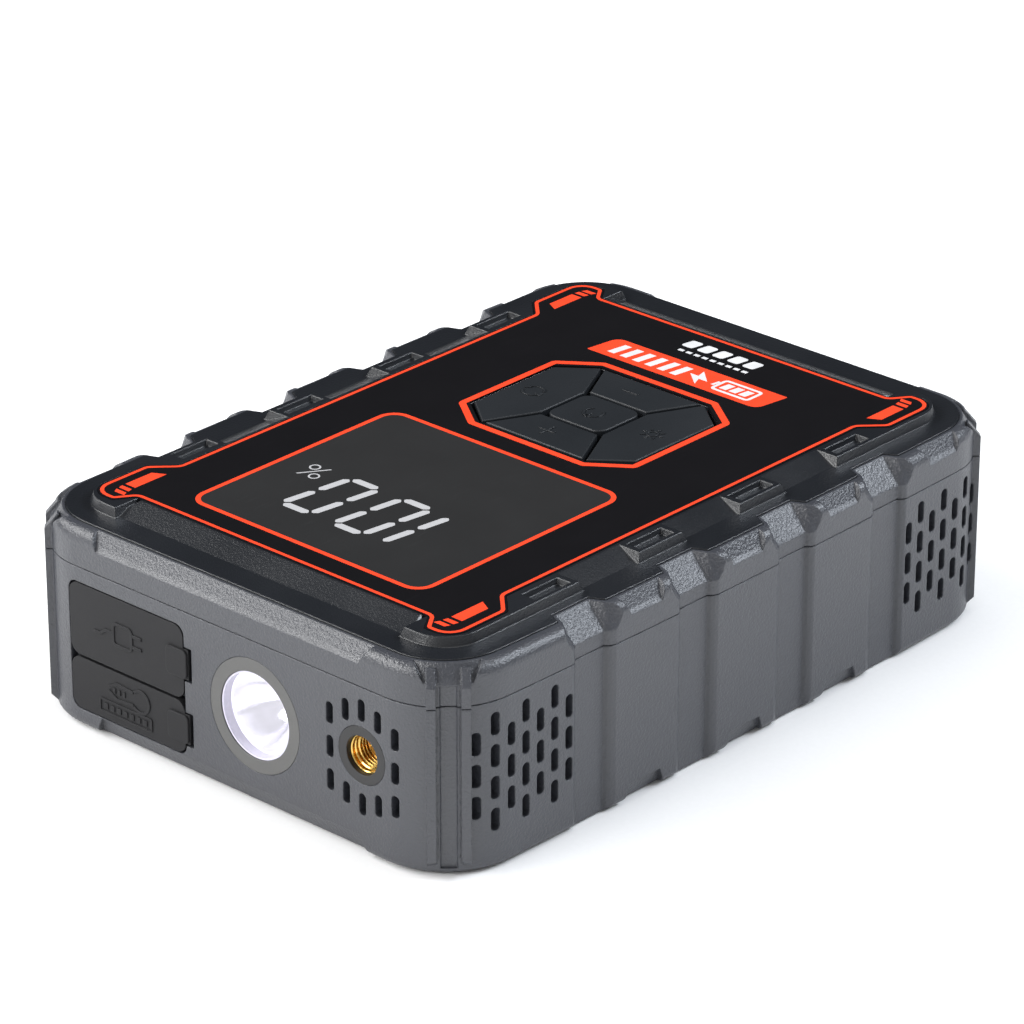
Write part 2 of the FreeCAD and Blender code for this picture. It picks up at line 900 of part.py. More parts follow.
def port_tools():
    """The recess for the two covers, its finger notches and the openings behind it."""
    gap = dims.cover_gap
    recess_path = rounded_rectangle(
        widened(COVER_ACROSS, gap), (LOWER_COVER[0] - gap, UPPER_COVER[1] + gap), dims.cover_radius
    )
    recess_sketch = front_sketch("port_recess_outline", recess_path)
    recess = extrude("port_recess", recess_sketch, BACK, SPARE + dims.port_recess)
    depth = (FRONT - SPARE, FRONT + dims.port_recess)
    through = (FRONT, PORT_BACK + SPARE)
    tools = [recess]
    for name, cover in (("upper", UPPER_COVER), ("lower", LOWER_COVER)):
        middle = (cover[0] + cover[1]) / 2
        notch = (dims.cover_right - SPARE, dims.cover_right + dims.finger_notch)
        tools.append(box(f"{name}_finger_notch", notch, depth, around(middle, dims.tab_height + SPARE)))
    openings = (
        ("usb_a", dims.usb_a_centre, dims.usb_height, dims.usb_a_width, dims.usb_a_height),
        ("usb_c", dims.usb_c_centre, dims.usb_height, dims.usb_c_width, dims.usb_c_height),
        ("jump", dims.jump_centre, dims.jump_height, dims.jump_width, dims.jump_tall),
    )
    for name, centre, height, width, tall in openings:
        across = around(centre, width + SPARE)
        tools.append(box(f"{name}_opening", across, through, around(height, tall + SPARE)))
    return tools


def ring_hole():
    """The eight-sided hole that grips the outlet's ring."""
    inner = dims.ring_body_radius + dims.opening_clearance
    near = inner * EIGHTH_SLOPE
    corners = [(near, -inner), (inner, -near), (inner, near), (near, inner)]
    corners += [(-u, -v) for u, v in corners]
    return [(dims.outlet_across + u, dims.outlet_height + v) for u, v in corners]


def case_spots(across, along):
    return [(across * x, along * y) for x, y in CORNERS]


SCREW_SPOTS = case_spots(dims.case_screw_across, dims.case_screw_along)
FOOT_SPOTS = case_spots(dims.foot_across, dims.foot_along)
BOARD_ACROSS = (dims.board_left, dims.board_right)
BOARD_ALONG = (dims.board_front, dims.board_rear)
BOARD_UNDER = dims.board_top - dims.board_thickness
POST_SPOTS = [
    (dims.board_right - dims.post_inset, dims.board_front + dims.post_inset * 3),
    (dims.board_left + dims.post_inset, dims.board_front + dims.post_inset * 6),
    (dims.board_left + dims.post_inset, dims.board_rear - dims.post_inset),
    (dims.board_right - dims.post_inset, dims.board_rear - dims.post_inset),
]


def lower_shell():
    block = prism("lower_block", (BOTTOM, PARTING_LOW), case_outline(0.0))
    rounded = round_edges(
        "lower_rounded", block, dims.bottom_round, lambda middle: abs(middle.z - BOTTOM.value) < NEAR
    )
    tongue = prism("tongue", (PARTING_LOW - SPARE, TONGUE_TOP), case_outline(dims.tongue_inset))
    ribs = corner_ribs("lower_rib", [
        (dims.rib_bottom, dims.corner_radius - dims.rib_stand),
        (dims.rib_bottom + dims.rib_ramp, dims.corner_radius + dims.rib_stand),
        (PARTING_LOW, dims.corner_radius + dims.rib_stand),
    ])
    outer = cut(
        "lower_outer",
        fuse("lower_with_tongue", rounded, tongue),
        *grip_tools("lower_grip", [
            (BOTTOM - SPARE, dims.grip_floor, GRIP_WALL),
            (dims.parting_height, dims.grip_floor, GRIP_WALL),
        ]),
        *side_pockets("low_pocket", [
            (BOTTOM - SPARE, dims.low_pocket_low_inset, 1.0),
            (dims.low_pocket_top, dims.low_pocket_high_inset, 0.0),
        ]),
        *corner_channels("lower_channel", (dims.rib_bottom, PARTING_LOW)),
    )
    hollow = prism("lower_hollow", (FLOOR_TOP, TONGUE_TOP + SPARE), case_outline(dims.wall))
    opened = cut("lower_open", fuse("lower_ribbed", outer, *ribs), hollow)
    shell = cut("lower_vented", opened, group("all_vents", *side_vents(), front_vents()))
    backing = box(
        "port_backing",
        widened(COVER_ACROSS, dims.wall),
        (FRONT + dims.wall - SPARE, PORT_BACK),
        (FLOOR_TOP - SPARE, UPPER_COVER[1] + SPARE),
    )
    inside = [backing]
    for index, (x, y) in enumerate(SCREW_SPOTS):
        inside.append(rod(
            f"lower_boss_{index}",
            dims.screw_boss_radius,
            (x, y, BOTTOM + SPARE),
            dims.boss_meet - BOTTOM - SPARE,
        ))
    for index, (x, y) in enumerate(POST_SPOTS):
        start = (x, y, FLOOR_TOP - SPARE)
        inside.append(rod(f"board_post_{index}", dims.post_radius, start, BOARD_UNDER - FLOOR_TOP + SPARE))
    tools = port_tools()
    for index, (x, y) in enumerate(SCREW_SPOTS):
        seat = dims.screw_head_radius + dims.opening_clearance
        tools.append(rod(f"screw_seat_{index}", seat, (x, y, 0.0), dims.screw_seat))
        shank = dims.screw_radius + dims.opening_clearance
        tools.append(rod(f"screw_hole_{index}", shank, (x, y, 0.0), dims.boss_meet + SPARE))
    for index, (x, y) in enumerate(POST_SPOTS):
        tools.append(rod(f"post_core_{index}", dims.post_hole, (x, y, FLOOR_TOP + SPARE), BOARD_UNDER))
    for index, (x, y) in enumerate(FOOT_SPOTS):
        tools.append(rod(
            f"foot_recess_{index}",
            dims.foot_radius + dims.opening_clearance,
            (x, y, 0.0),
            BOTTOM + dims.foot_recess,
        ))
    into_front = FRONT - SPARE
    torch = (dims.torch_across, into_front, dims.torch_height)
    outlet = (dims.outlet_across, into_front, dims.outlet_height)
    tools += [
        rod("bezel_seat", dims.bezel_radius + dims.seat_clearance, torch, dims.bezel_flange + SPARE, "y"),
        rod("bezel_hole", dims.bezel_body_radius + dims.opening_clearance, torch, dims.wall * 3, "y"),
        rod("ring_seat", dims.ring_radius + dims.seat_clearance, outlet, dims.ring_flange + SPARE, "y"),
        extrude("ring_hole", front_sketch("ring_hole_outline", ring_hole()), BACK, dims.wall * 3),
    ]
    return keep("lower_shell", cut("lower_shell", fuse("lower_fitted", shell, *inside), *tools))


def notched_opening(name, z, extra):
    """The upper shell's opening, with a notch behind each grip recess; the tray's rim follows it."""
    block = prism(f"{name}_block", z, case_outline(dims.opening_inset + extra))
    blocks = []
    for side in SIDES:
        for index, along in enumerate(GRIP_PLACES):
            surface = dims.case_width / 2 - bow_drop(along)
            inner = (surface - dims.notch_inset - extra) * side
            outer = (surface - dims.opening_inset + SPARE) * side
            blocks.append(frustum(
                f"{name}_notch_{'left' if side < 0 else 'right'}_{index}",
                "x",
                (inner, around(along, dims.notch_floor + extra * 2), (z[0] - SPARE, z[1] + SPARE)),
                (outer, around(along, dims.notch_mouth + extra * 2), (z[0] - SPARE, z[1] + SPARE)),
            ))
    return cut(name, block, *blocks)


def upper_shell():
    block = prism("upper_block", (PARTING_HIGH, dims.shell_top), case_outline(0.0))
    rounded = round_edges(
        "upper_rounded",
        block,
        dims.shoulder_round,
        lambda middle: abs(middle.z - dims.shell_top.value) < NEAR,
    )
    grips = grip_tools("upper_grip", [
        (PARTING_HIGH - SPARE, dims.grip_floor, GRIP_WALL),
        (dims.grip_slope_start, dims.grip_floor, GRIP_WALL),
        (dims.shell_top, dims.grip_top_floor, GRIP_TOP_WALL),
        (dims.shell_top + SPARE, dims.grip_top_floor, GRIP_TOP_WALL),
    ])
    pockets = side_pockets("shoulder_pocket", [
        (dims.pocket_start, -dims.pocket_stand, 0.0),
        (dims.pocket_ledge, dims.pocket_low_inset, LEDGE_SHARE),
        (dims.shell_top + SPARE * HALF, dims.pocket_high_inset, 1.0),
    ])
    pockets += corner_pockets("corner_pocket", [
        (dims.pocket_start, -dims.pocket_stand, dims.corner_pocket_bottom),
        (dims.pocket_ledge, dims.pocket_low_inset, dims.corner_pocket_bottom + SPARE * HALF),
        (dims.shell_top + SPARE * HALF, dims.pocket_high_inset, dims.corner_pocket_top),
    ])
    channels = corner_channels("upper_channel", (PARTING_HIGH, dims.rib_shoulder))
    ribs = corner_ribs("upper_rib", [
        (PARTING_HIGH, dims.corner_radius + dims.rib_stand),
        (dims.rib_shoulder, dims.corner_radius + dims.rib_stand),
        (dims.rib_top, dims.corner_radius - dims.rib_lean),
    ])
    outer = fuse("upper_ribbed", cut("upper_outer", rounded, *grips, *pockets, *channels), *ribs)
    groove = prism(
        "tongue_groove",
        (PARTING_HIGH - SPARE, TONGUE_TOP + dims.tongue_clearance),
        case_outline(dims.tongue_inset - dims.tongue_clearance),
    )
    hollow = prism("upper_hollow", (PARTING_HIGH - SPARE, dims.deck_bottom), case_outline(dims.wall))
    opening = notched_opening("opening", (dims.deck_top, dims.shell_top + SPARE), 0.0)
    keypad_hole = box(
        "deck_keypad_hole",
        (-dims.keypad_half + dims.display_margin, dims.keypad_half - dims.display_margin),
        (dims.keypad_front + dims.display_margin, dims.keypad_rear - dims.display_margin),
        (dims.deck_bottom - SPARE, dims.deck_top + SPARE),
    )
    shell = cut("upper_open", outer, groove, hollow, opening, keypad_hole)
    bosses = []
    cores = []
    for index, (x, y) in enumerate(SCREW_SPOTS):
        start = (x, y, dims.boss_meet)
        bosses.append(rod(
            f"upper_boss_{index}", dims.screw_boss_radius, start, dims.deck_top - dims.boss_meet - SPARE
        ))
        core = dims.screw_radius + dims.tongue_clearance
        cores.append(rod(f"upper_core_{index}", core, start, dims.screw_length))
    return keep("upper_shell", cut("upper_shell", fuse("upper_bossed", shell, *bosses), *cores))


KEYPAD_ACROSS = (-dims.keypad_half, dims.keypad_half)
KEYPAD_ALONG = (dims.keypad_front, dims.keypad_rear)
WINDOW_ACROSS = (-dims.window_half, dims.window_half)
WINDOW_ALONG = (dims.window_front, dims.window_rear)
TRAY_BOTTOM = dims.deck_top + dims.tongue_clearance
RIM_TOP = dims.rim_top


def octagon(grow):
    """The keypad's outline, with slanted corners, widened by grow."""
    left, right = widened(KEYPAD_ACROSS, grow)
    front, rear = widened(KEYPAD_ALONG, grow)
    across, along = dims.keypad_chamfer_across, dims.keypad_chamfer_along
    return [
        (left + across, front),
        (right - across, front),
        (right, front + along),
        (right, rear - along),
        (right - across, rear),
        (left + across, rear),
        (left, rear - along),
        (left, front + along),
    ]


def label_outline(grow):
    """The label's outline: straight sides, and a rounded lobe at each corner."""
    side = dims.label_side + grow
    end = dims.label_front + grow
    lobe_side = dims.lobe_side + grow
    lobe_end = dims.lobe_end + grow
    radius = dims.lobe_radius + grow
    quarter = [
        (side, dims.lobe_start),
        (lobe_side, dims.lobe_start + dims.lobe_slant),
        (lobe_side, lobe_end - radius, radius),
        (lobe_side - radius, lobe_end),
        (dims.lobe_inner + dims.lobe_end_slant, lobe_end),
        (dims.lobe_inner, end),
    ]
    rear_right = quarter
    rear_left = mirrored_run(quarter, -1, 1)
    front_left = [scaled(corner, -1, -1) for corner in quarter]
    front_right = mirrored_run(quarter, 1, -1)
    return [*rear_right, *rear_left, *front_left, *front_right]


def scaled(corner, across, along):
    return (corner[0] * across, corner[1] * along, *corner[2:])


def mirrored_run(run, across, along):
    """A run of corners mirrored and walked backwards, with each arc moved to its new first corner."""
    backwards = []
    for index in range(len(run) - 1, -1, -1):
        corner = scaled(run[index][:2], across, along)
        before = run[index - 1] if index else ()
        backwards.append((*corner, before[2]) if len(before) > 2 else corner)
    return backwards


def corner_pads():
    """A raised pad under each corner of the label, with the sloping edge of the finger it runs into."""
    slope = dims.finger_foot - dims.finger_tip
    start, inner = dims.pad_start, dims.pad_inner
    pads = []
    for index, (across, along) in enumerate(CORNERS):
        sections = []
        for height, grow in ((RIM_TOP - SPARE, slope), (dims.plateau_top, 0.0)):
            outer, end, radius = dims.finger_tip + grow, dims.pad_end + grow, dims.pad_radius + grow
            path = [
                ((inner - grow) * across, start * along),
                (outer * across, start * along),
                (outer * across, (end - radius) * along, radius * (across * along)),
                ((outer - radius) * across, end * along),
                ((inner - grow) * across, end * along),
            ]
            sections.append((height, path))
        pads.append(loft(f"corner_pad_{index}", *sections))
    return pads


def top_tray():
    rim = notched_opening("tray_rim", (TRAY_BOTTOM, RIM_TOP), dims.opening_clearance)
    low, high = RIM_TOP - SPARE, dims.plateau_top
    foot, top = dims.valley_foot, dims.valley_top
    run = dims.valley_run
    plateau = frustum("plateau", "z", (low, (-foot, foot), (-run, run)), (high, (-top, top), (-run, run)))
    ramp_foot, ramp_top = dims.ramp_foot, dims.ramp_top
    ramps = frustum(
        "ramps",
        "z",
        (low, around(0.0, dims.ramp_foot_width), (-ramp_foot, ramp_foot)),
        (high, around(0.0, dims.ramp_top_width), (-ramp_top, ramp_top)),
    )
    fingers = []
    slots = []
    for side in SIDES:
        for index, place_along in enumerate((-3, -1, 1, 3)):
            name = f"{'left' if side < 0 else 'right'}_{index}"
            along = dims.finger_offset * place_along
            wide = tuple(sorted((dims.finger_root * side, dims.finger_foot * side), key=number))
            narrow = tuple(sorted((dims.finger_root * side, dims.finger_tip * side), key=number))
            fingers.append(frustum(
                f"finger_{name}",
                "z",
                (low, wide, around(along, dims.finger_foot_length)),
                (high, narrow, around(along, dims.finger_length)),
            ))
            taper = dims.slot_taper
            mouth = tuple(sorted((dims.slot_inner * side, dims.slot_outer * side), key=number))
            floor = tuple(sorted(
                ((dims.slot_inner + taper) * side, (dims.slot_outer - taper) * side), key=number
            ))
            slots.append(frustum(
                f"finger_slot_{name}",
                "z",
                (high - dims.slot_depth, floor, around(along, dims.slot_length - taper * 2)),
                (high + dims.label_fit, mouth, around(along, dims.slot_length)),
            ))
    body = fuse("tray_body", rim, plateau, ramps, *fingers, *corner_pads())
    fit = dims.label_fit
    tools = [
        prism("label_recess", (dims.label_bottom, high + SPARE), label_outline(fit)),
        prism(
            "window_recess",
            (dims.label_bottom - dims.window_thickness + fit, high),
            rounded_rectangle(widened(WINDOW_ACROSS, fit), widened(WINDOW_ALONG, fit), dims.window_radius),
        ),
        box(
            "display_hole",
            widened(WINDOW_ACROSS, -dims.display_margin),
            widened(WINDOW_ALONG, -dims.display_margin),
            (TRAY_BOTTOM - SPARE, high),
        ),
        prism("keypad_hole", (TRAY_BOTTOM - SPARE, high), octagon(0.0)),
        prism("web_recess", (TRAY_BOTTOM - SPARE, dims.web_top + fit), octagon(dims.display_margin + fit)),
        *slots,
    ]
    return keep("top_tray", cut("top_tray", body, *tools))


def label_plate():
    fit = dims.label_fit
    window = rounded_rectangle(widened(WINDOW_ACROSS, fit), widened(WINDOW_ALONG, fit), dims.window_radius)
    thickness = (dims.label_bottom, dims.label_top)
    keep("label_plate", padded("label_plate", thickness, label_outline(0.0), window, octagon(0.0)))


def display_parts():
    window = padded(
        "display_window",
        (dims.label_top - dims.window_thickness, dims.label_top),
        rounded_rectangle(WINDOW_ACROSS, WINDOW_ALONG, dims.window_radius),
    )
    soften(window, dims.window_edge, lambda middle: middle.z > dims.window_thickness.value - NEAR)
    keep("display_window", window)
    margin = -dims.display_margin - dims.label_fit
    frame = box(
        "display_frame",
        widened(WINDOW_ACROSS, margin),
        widened(WINDOW_ALONG, margin),
        (dims.deck_top, dims.display_top),
    )
    keep("display_module", frame)


def key_outlines():
    """Plan outlines of the five keys: one in the middle and four round it, parted by slanting gaps."""
    left, right = widened(KEYPAD_ACROSS, -dims.key_margin)
    front, rear = widened(KEYPAD_ALONG, -dims.key_margin)
    across, along = dims.keypad_chamfer_across, dims.keypad_chamfer_along
    parting, corner = dims.key_parting, dims.key_corner
    middle = (front + rear) / 2
    half, deep = dims.centre_key_half, dims.centre_key_along
    near, wing = deep + dims.centre_key_channel, half + dims.centre_key_channel
    keys_round = {
        "key_power": rounded_rectangle((-half, half), (middle - deep, middle + deep), dims.centre_key_round)
    }
    for name, side, edge in (("key_plus", -1, front), ("key_minus", 1, rear)):
        keys_round[name] = [
            (left + across + parting, edge),
            (-wing + corner, middle + near * side),
            (wing - corner, middle + near * side),
            (right - across - parting, edge),
        ]
    for name, side, edge in (("key_mode", -1, left), ("key_light", 1, right)):
        keys_round[name] = [
            (edge - (across - parting) * side, front),
            (edge, front + along),
            (edge, rear - along),
            (edge - (across - parting) * side, rear),
            (wing * side, middle + near - corner),
            (wing * side, middle - near + corner),
        ]
    return keys_round


def key_centres():
    middle = (KEYPAD_ALONG[0] + KEYPAD_ALONG[1]) / 2
    along = dims.keypad_half * KEY_CENTRE_SHARE
    return {
        "key_power": (0.0, middle),
        "key_plus": (0.0, middle - along),
        "key_minus": (0.0, middle + along),
        "key_mode": (-along, middle),
        "key_light": (along, middle),
    }


def keys():
    """Each key is a rubber cap with a plunger that reaches down to its switch."""
    centres = key_centres()
    for label, path in key_outlines().items():
        cap = padded(f"{label}_cap", (dims.key_bottom, dims.key_top), path)
        top = (dims.key_top - dims.key_bottom).value
        soften(cap, dims.key_gap, lambda middle: middle.z > top - NEAR)
        x, y = centres[label]
        start = dims.control_board_top + dims.switch_height + dims.plunger_gap
        plunger = rod(f"{label}_plunger", dims.plunger_radius, (x, y, start), dims.key_bottom - start + SPARE)
        keep(label, fuse(label, cap, plunger))


def keypad_web():
    sheet_block = prism("web_sheet", (TRAY_BOTTOM, dims.web_top), octagon(dims.display_margin))
    holes = [
        rod(f"web_hole_{label}", dims.plunger_radius + dims.key_gap, (x, y, TRAY_BOTTOM - SPARE), SPARE * 4)
        for label, (x, y) in key_centres().items()
    ]
    keep("keypad_web", cut("keypad_web", sheet_block, *holes))


def covers():
    """Two rubber flaps: a plate, a pull tab at its free edge and plugs that fill the openings."""
    plugs = {
        "usb_cover": (UPPER_COVER, [
            (dims.usb_a_centre, dims.usb_height, dims.usb_a_width, dims.usb_a_height),
            (dims.usb_c_centre, dims.usb_height, dims.usb_c_width, dims.usb_c_height),
        ]),
        "engine_cover": (LOWER_COVER, [
            (dims.jump_centre, dims.jump_height, dims.jump_width, dims.jump_tall),
        ]),
    }
    back = FRONT + dims.cover_thickness
    for label, (height, fillings) in plugs.items():
        path = rounded_rectangle(COVER_ACROSS, height, dims.cover_radius)
        sketch = front_sketch(f"{label}_outline", path)
        place(sketch, (0.0, FRONT, 0.0), FACING_FRONT)
        plate = extrude(f"{label}_plate", sketch, BACK, dims.cover_thickness)
        middle = (height[0] + height[1]) / 2
        tab = box(
            f"{label}_tab",
            (dims.cover_right - dims.tab_width, TAB_RIGHT),
            (FRONT, back),
            around(middle, dims.tab_height),
        )
        solids = [plate, tab]
        for index, (centre, level, width, tall) in enumerate(fillings):
            solids.append(box(
                f"{label}_plug_{index}",
                around(centre, width - SPARE),
                (back - SPARE, back + dims.plug_length),
                around(level, tall - SPARE),
            ))
        keep(label, fuse(label, *solids))


def torch():
    spot = (dims.torch_across, FRONT, dims.torch_height)
    flange, body = dims.bezel_radius, dims.bezel_body_radius
    window, seat = dims.bezel_window, dims.lens_radius + dims.tongue_clearance
    lip, length = dims.bezel_lip, dims.bezel_length
    keep("torch_bezel", turned("torch_bezel", [
        (window, 0.0),
        (flange, 0.0),
        (flange, dims.bezel_flange),
        (body, dims.bezel_flange),
        (body, length),
        (seat, length),
        (seat, lip),
        (window, lip),
    ], spot))
    lens = dims.lens_thickness
    keep("torch_lens", turned("torch_lens", [
        (0.0, lip),
        (dims.lens_radius, lip),
        (dims.lens_radius, lip + lens),
        (0.0, lip + lens),
    ], spot))
    mouth, throat = dims.reflector_mouth, dims.reflector_throat
    start, end, skin = lip + lens, dims.reflector_depth, dims.reflector_skin
    bow = dims.reflector_bow
    keep("torch_reflector", turned("torch_reflector", [
        (mouth, start),
        (mouth + skin, start),
        (mouth + skin, start + skin, bow),
        (throat + skin, end),
        (throat, end, -bow),
    ], spot))
    board = dims.lamp_board_thickness
    keep("torch_board", turned("torch_board", [
        (0.0, end),
        (dims.lamp_board_radius, end),
        (dims.lamp_board_radius, end + board),
        (0.0, end + board),
    ], spot))
    size = dims.lamp_size
    keep("torch_led", box(
        "torch_led",
        around(dims.torch_across, size),
        (FRONT + end - dims.lamp_height, FRONT + end),
        around(dims.torch_height, size),
    ))


def air_outlet():
    spot = (dims.outlet_across, FRONT, dims.outlet_height)
    keep("air_outlet_ring", turned("air_outlet_ring", [
        (dims.ring_bore, 0.0),
        (dims.ring_radius, 0.0),
        (dims.ring_radius, dims.ring_flange),
        (dims.ring_body_radius, dims.ring_flange),
        (dims.ring_body_radius, dims.ring_length),
        (dims.ring_bore, dims.ring_length),
    ], spot))
    start = dims.fitting_inset
    end = start + dims.fitting_length
    path = [
        (dims.air_bore, end + dims.barb_length),
        (dims.air_bore, start + dims.fitting_depth),
        (dims.fitting_bore, start + dims.fitting_depth),
        (dims.fitting_bore, start + dims.fitting_bevel),
        (dims.fitting_bore + dims.fitting_bevel, start),
        (dims.fitting_radius, start),
        (dims.fitting_radius, end),
        (dims.barb_radius, end),
        (dims.barb_radius, end + dims.barb_length),
    ]
    keep("air_outlet_fitting", turned("air_outlet_fitting", path, spot))


def sockets():
    """USB-A and USB-C shells above the main board and the twin jump socket below it."""
    back = PORT_BACK + dims.cover_back_gap
    wall = dims.socket_wall
    for label, centre, width, tall, depth in (
        ("usb_a_port", dims.usb_a_centre, dims.usb_a_width, dims.usb_a_height, dims.usb_a_depth),
        ("usb_c_port", dims.usb_c_centre, dims.usb_c_width, dims.usb_c_height, dims.usb_c_depth),
    ):
        level = dims.board_top + tall / 2
        can = box(f"{label}_can", around(centre, width), (back, back + depth), around(level, tall))
        hole = box(
            f"{label}_hole",
            around(centre, width - wall * 2),
            (back - SPARE, back + depth - wall),
            around(level, tall - wall * 2),
        )
        tongue = box(
            f"{label}_tongue",
            around(centre, width * TONGUE_SHARE),
            (back + wall * 2, back + depth - wall / 2),
            (level - wall, level + wall),
        )
        keep(label, fuse(label, cut(f"{label}_shell", can, hole), tongue))
    level = dims.jump_height
    block = box(
        "jump_block",
        around(dims.jump_centre, dims.jump_width),
        (back, back + dims.jump_depth),
        around(level, dims.jump_tall),
    )
    sleeves = []
    bores = []
    for side in SIDES:
        across = dims.jump_centre + dims.bullet_spacing / 2 * side
        name = "left" if side < 0 else "right"
        bores.append(rod(
            f"bullet_seat_{name}",
            dims.bullet_sleeve + dims.tongue_clearance,
            (across, back - SPARE, level),
            dims.jump_depth + SPARE * 2,
            "y",
        ))
        start = (across, back + SPARE, level)
        sleeve = rod(f"sleeve_{name}", dims.bullet_sleeve, start, dims.jump_depth, "y")
        start = (across, back - SPARE, level)
        bore = rod(f"sleeve_bore_{name}", dims.bullet_bore, start, dims.jump_depth - SPARE, "y")
        sleeves.append(cut(f"socket_sleeve_{name}", sleeve, bore))
    keep("jump_socket", cut("jump_socket", block, *bores))
    keep("socket_terminals", group("socket_terminals", *sleeves))


def main_board():
    board = box("main_board_sheet", BOARD_ACROSS, BOARD_ALONG, (BOARD_UNDER, dims.board_top))
    boss_clear = dims.screw_boss_radius + SPARE
    holes = [rod(
        "boss_clearance",
        boss_clear,
        (-dims.case_screw_across, -dims.case_screw_along, BOARD_UNDER - SPARE),
        SPARE * 4,
    )]
    hole_radius = dims.post_hole + dims.board_hole_clearance
    for index, (x, y) in enumerate(POST_SPOTS):
        holes.append(rod(f"board_hole_{index}", hole_radius, (x, y, BOARD_UNDER - SPARE), SPARE * 4))
    keep("main_board", cut("main_board", board, *holes))
    screws = []
    length = dims.board_screw_length
    shank_radius = dims.post_hole - dims.board_screw_clearance
    for index, (x, y) in enumerate(POST_SPOTS):
        tip = (x, y, dims.board_top - length)
        shank = rod(f"board_screw_shank_{index}", shank_radius, tip, length + SPARE * HALF)
        seat = (x, y, dims.board_top)
        head = rod(f"board_screw_head_{index}", dims.post_hole * 2, seat, dims.board_screw_head)
        screws.append(fuse(f"board_screw_{index}", shank, head))
    keep("board_screws", group("board_screws", *screws))
    top = dims.board_top
    relay_centre = (dims.board_left + dims.board_right) / 2
    relay_along = dims.board_front / 2
    keep("start_relay", box(
        "start_relay",
        around(relay_centre, dims.relay_width),
        around(relay_along, dims.relay_length),
        (top, top + dims.relay_height),
    ))
    coil_along = relay_along + dims.relay_length + dims.coil_size / 2
    coils = [
        box(
            f"coil_{index}",
            around(relay_centre + dims.coil_pitch * offset, dims.coil_size),
            around(coil_along, dims.coil_size),
            (top, top + dims.coil_height),
        )
        for index, offset in enumerate((-1, 0, 1))
    ]
    keep("power_coils", group("power_coils", *coils))
    capacitors = [
        rod(
            f"capacitor_{index}",
            dims.capacitor_radius,
            (
                dims.board_right - dims.coil_size * 2,
                relay_along - dims.relay_length - dims.capacitor_pitch * offset,
                top,
            ),
            dims.capacitor_height,
        )
        for index, offset in enumerate((0, 1))
    ]
    keep("capacitors", group("capacitors", *capacitors))


def control_board():
    top = dims.control_board_top
    across = (-dims.control_half, dims.control_half)
    along = (dims.control_front, dims.control_rear)
    keep("control_board", box("control_board", across, along, (top - dims.board_thickness, top)))
    switches = [
        box(
            f"switch_{label}",
            around(x, dims.switch_size),
            around(y, dims.switch_size),
            (top, top + dims.switch_height),
        )
        for label, (x, y) in key_centres().items()
    ]
    keep("tact_switches", group("tact_switches", *switches))


def battery():
    """Flat pouch cells in a stack, with foam between them, a strap round them and a board in front."""
    across = around(0.0, dims.cell_width)
    along = (dims.cell_front, dims.cell_rear)
    pitch = dims.cell_thickness + dims.cell_gap
    cells = []
    pads = []
    for index in range(CELL_COUNT):
        low = dims.cell_bottom + pitch * index
        cell = box(f"cell_{index}", across, along, (low, low + dims.cell_thickness))
        middle = low + dims.cell_thickness / 2
        tabs = [
            box(
                f"cell_tab_{index}_{'left' if side < 0 else 'right'}",
                around(dims.cell_width / 4 * side, dims.cell_tab_width),
                (dims.cell_front - dims.cell_tab_length, dims.cell_front + SPARE),
                around(middle, dims.cell_tab_thickness),
            )
            for side in SIDES
        ]
        cells.append(fuse(f"cell_with_tabs_{index}", cell, *tabs))
        pads.append(box(
            f"cell_pad_{index}",
            widened(across, -dims.cell_tab_length * 2),
            widened(along, -dims.cell_tab_length),
            (low - dims.cell_gap, low),
        ))
    keep("battery_cells", group("battery_cells", *cells))
    keep("battery_pads", group("battery_pads", *pads))
    gap = dims.strap_clearance
    thick = dims.strap_thickness
    low, high = dims.cell_bottom, dims.cell_bottom + pitch * CELL_COUNT - dims.cell_gap
    middle = (dims.cell_front + dims.cell_rear) / 2
    inner = (widened(across, gap), around(middle, dims.strap_width + SPARE * 2), (low - gap, high + gap))
    outer = (
        widened(across, gap + thick),
        around(middle, dims.strap_width),
        (low - dims.cell_gap, high + gap + thick),
    )
    strap = cut("strap_loop", box("strap_outer", *outer), box("strap_inner", *inner))
    over = box("strap_trim", inner[0], inner[1], (low - SPARE, low))
    keep("battery_strap", cut("battery_strap", strap, over))
    front = dims.cell_board_front
    keep("cell_board", box(
        "cell_board",
        around(0.0, dims.cell_board_width),
        (front - dims.board_thickness, front),
        (dims.cell_bottom, dims.cell_bottom + dims.cell_board_height),
    ))
    start = PORT_BACK + dims.cover_back_gap + dims.jump_depth + SPARE
    leads = [
        rod(
            f"lead_{'left' if side < 0 else 'right'}",
            dims.barb_radius,
            (dims.jump_centre + dims.bullet_spacing / 2 * side, start, dims.jump_height),
            front - dims.board_thickness - start,
            "y",
        )
        for side in SIDES
    ]
    keep("battery_leads", group("battery_leads", *leads))


CRANK_SPREAD = dims.gear_module * (dims.pinion_teeth + dims.crank_teeth) / 2
CRANK_ALONG = dims.motor_along - CRANK_SPREAD
INFLATOR_HEIGHT = dims.outlet_height
PRESSURE_ANGLE = math.radians(25)
ADDENDUM = 0.8
DEDENDUM = 1.15
FLANK_STEPS = 5
LEAST_STEP = 1e-4


def involute_angle(angle):
    return math.tan(angle) - angle


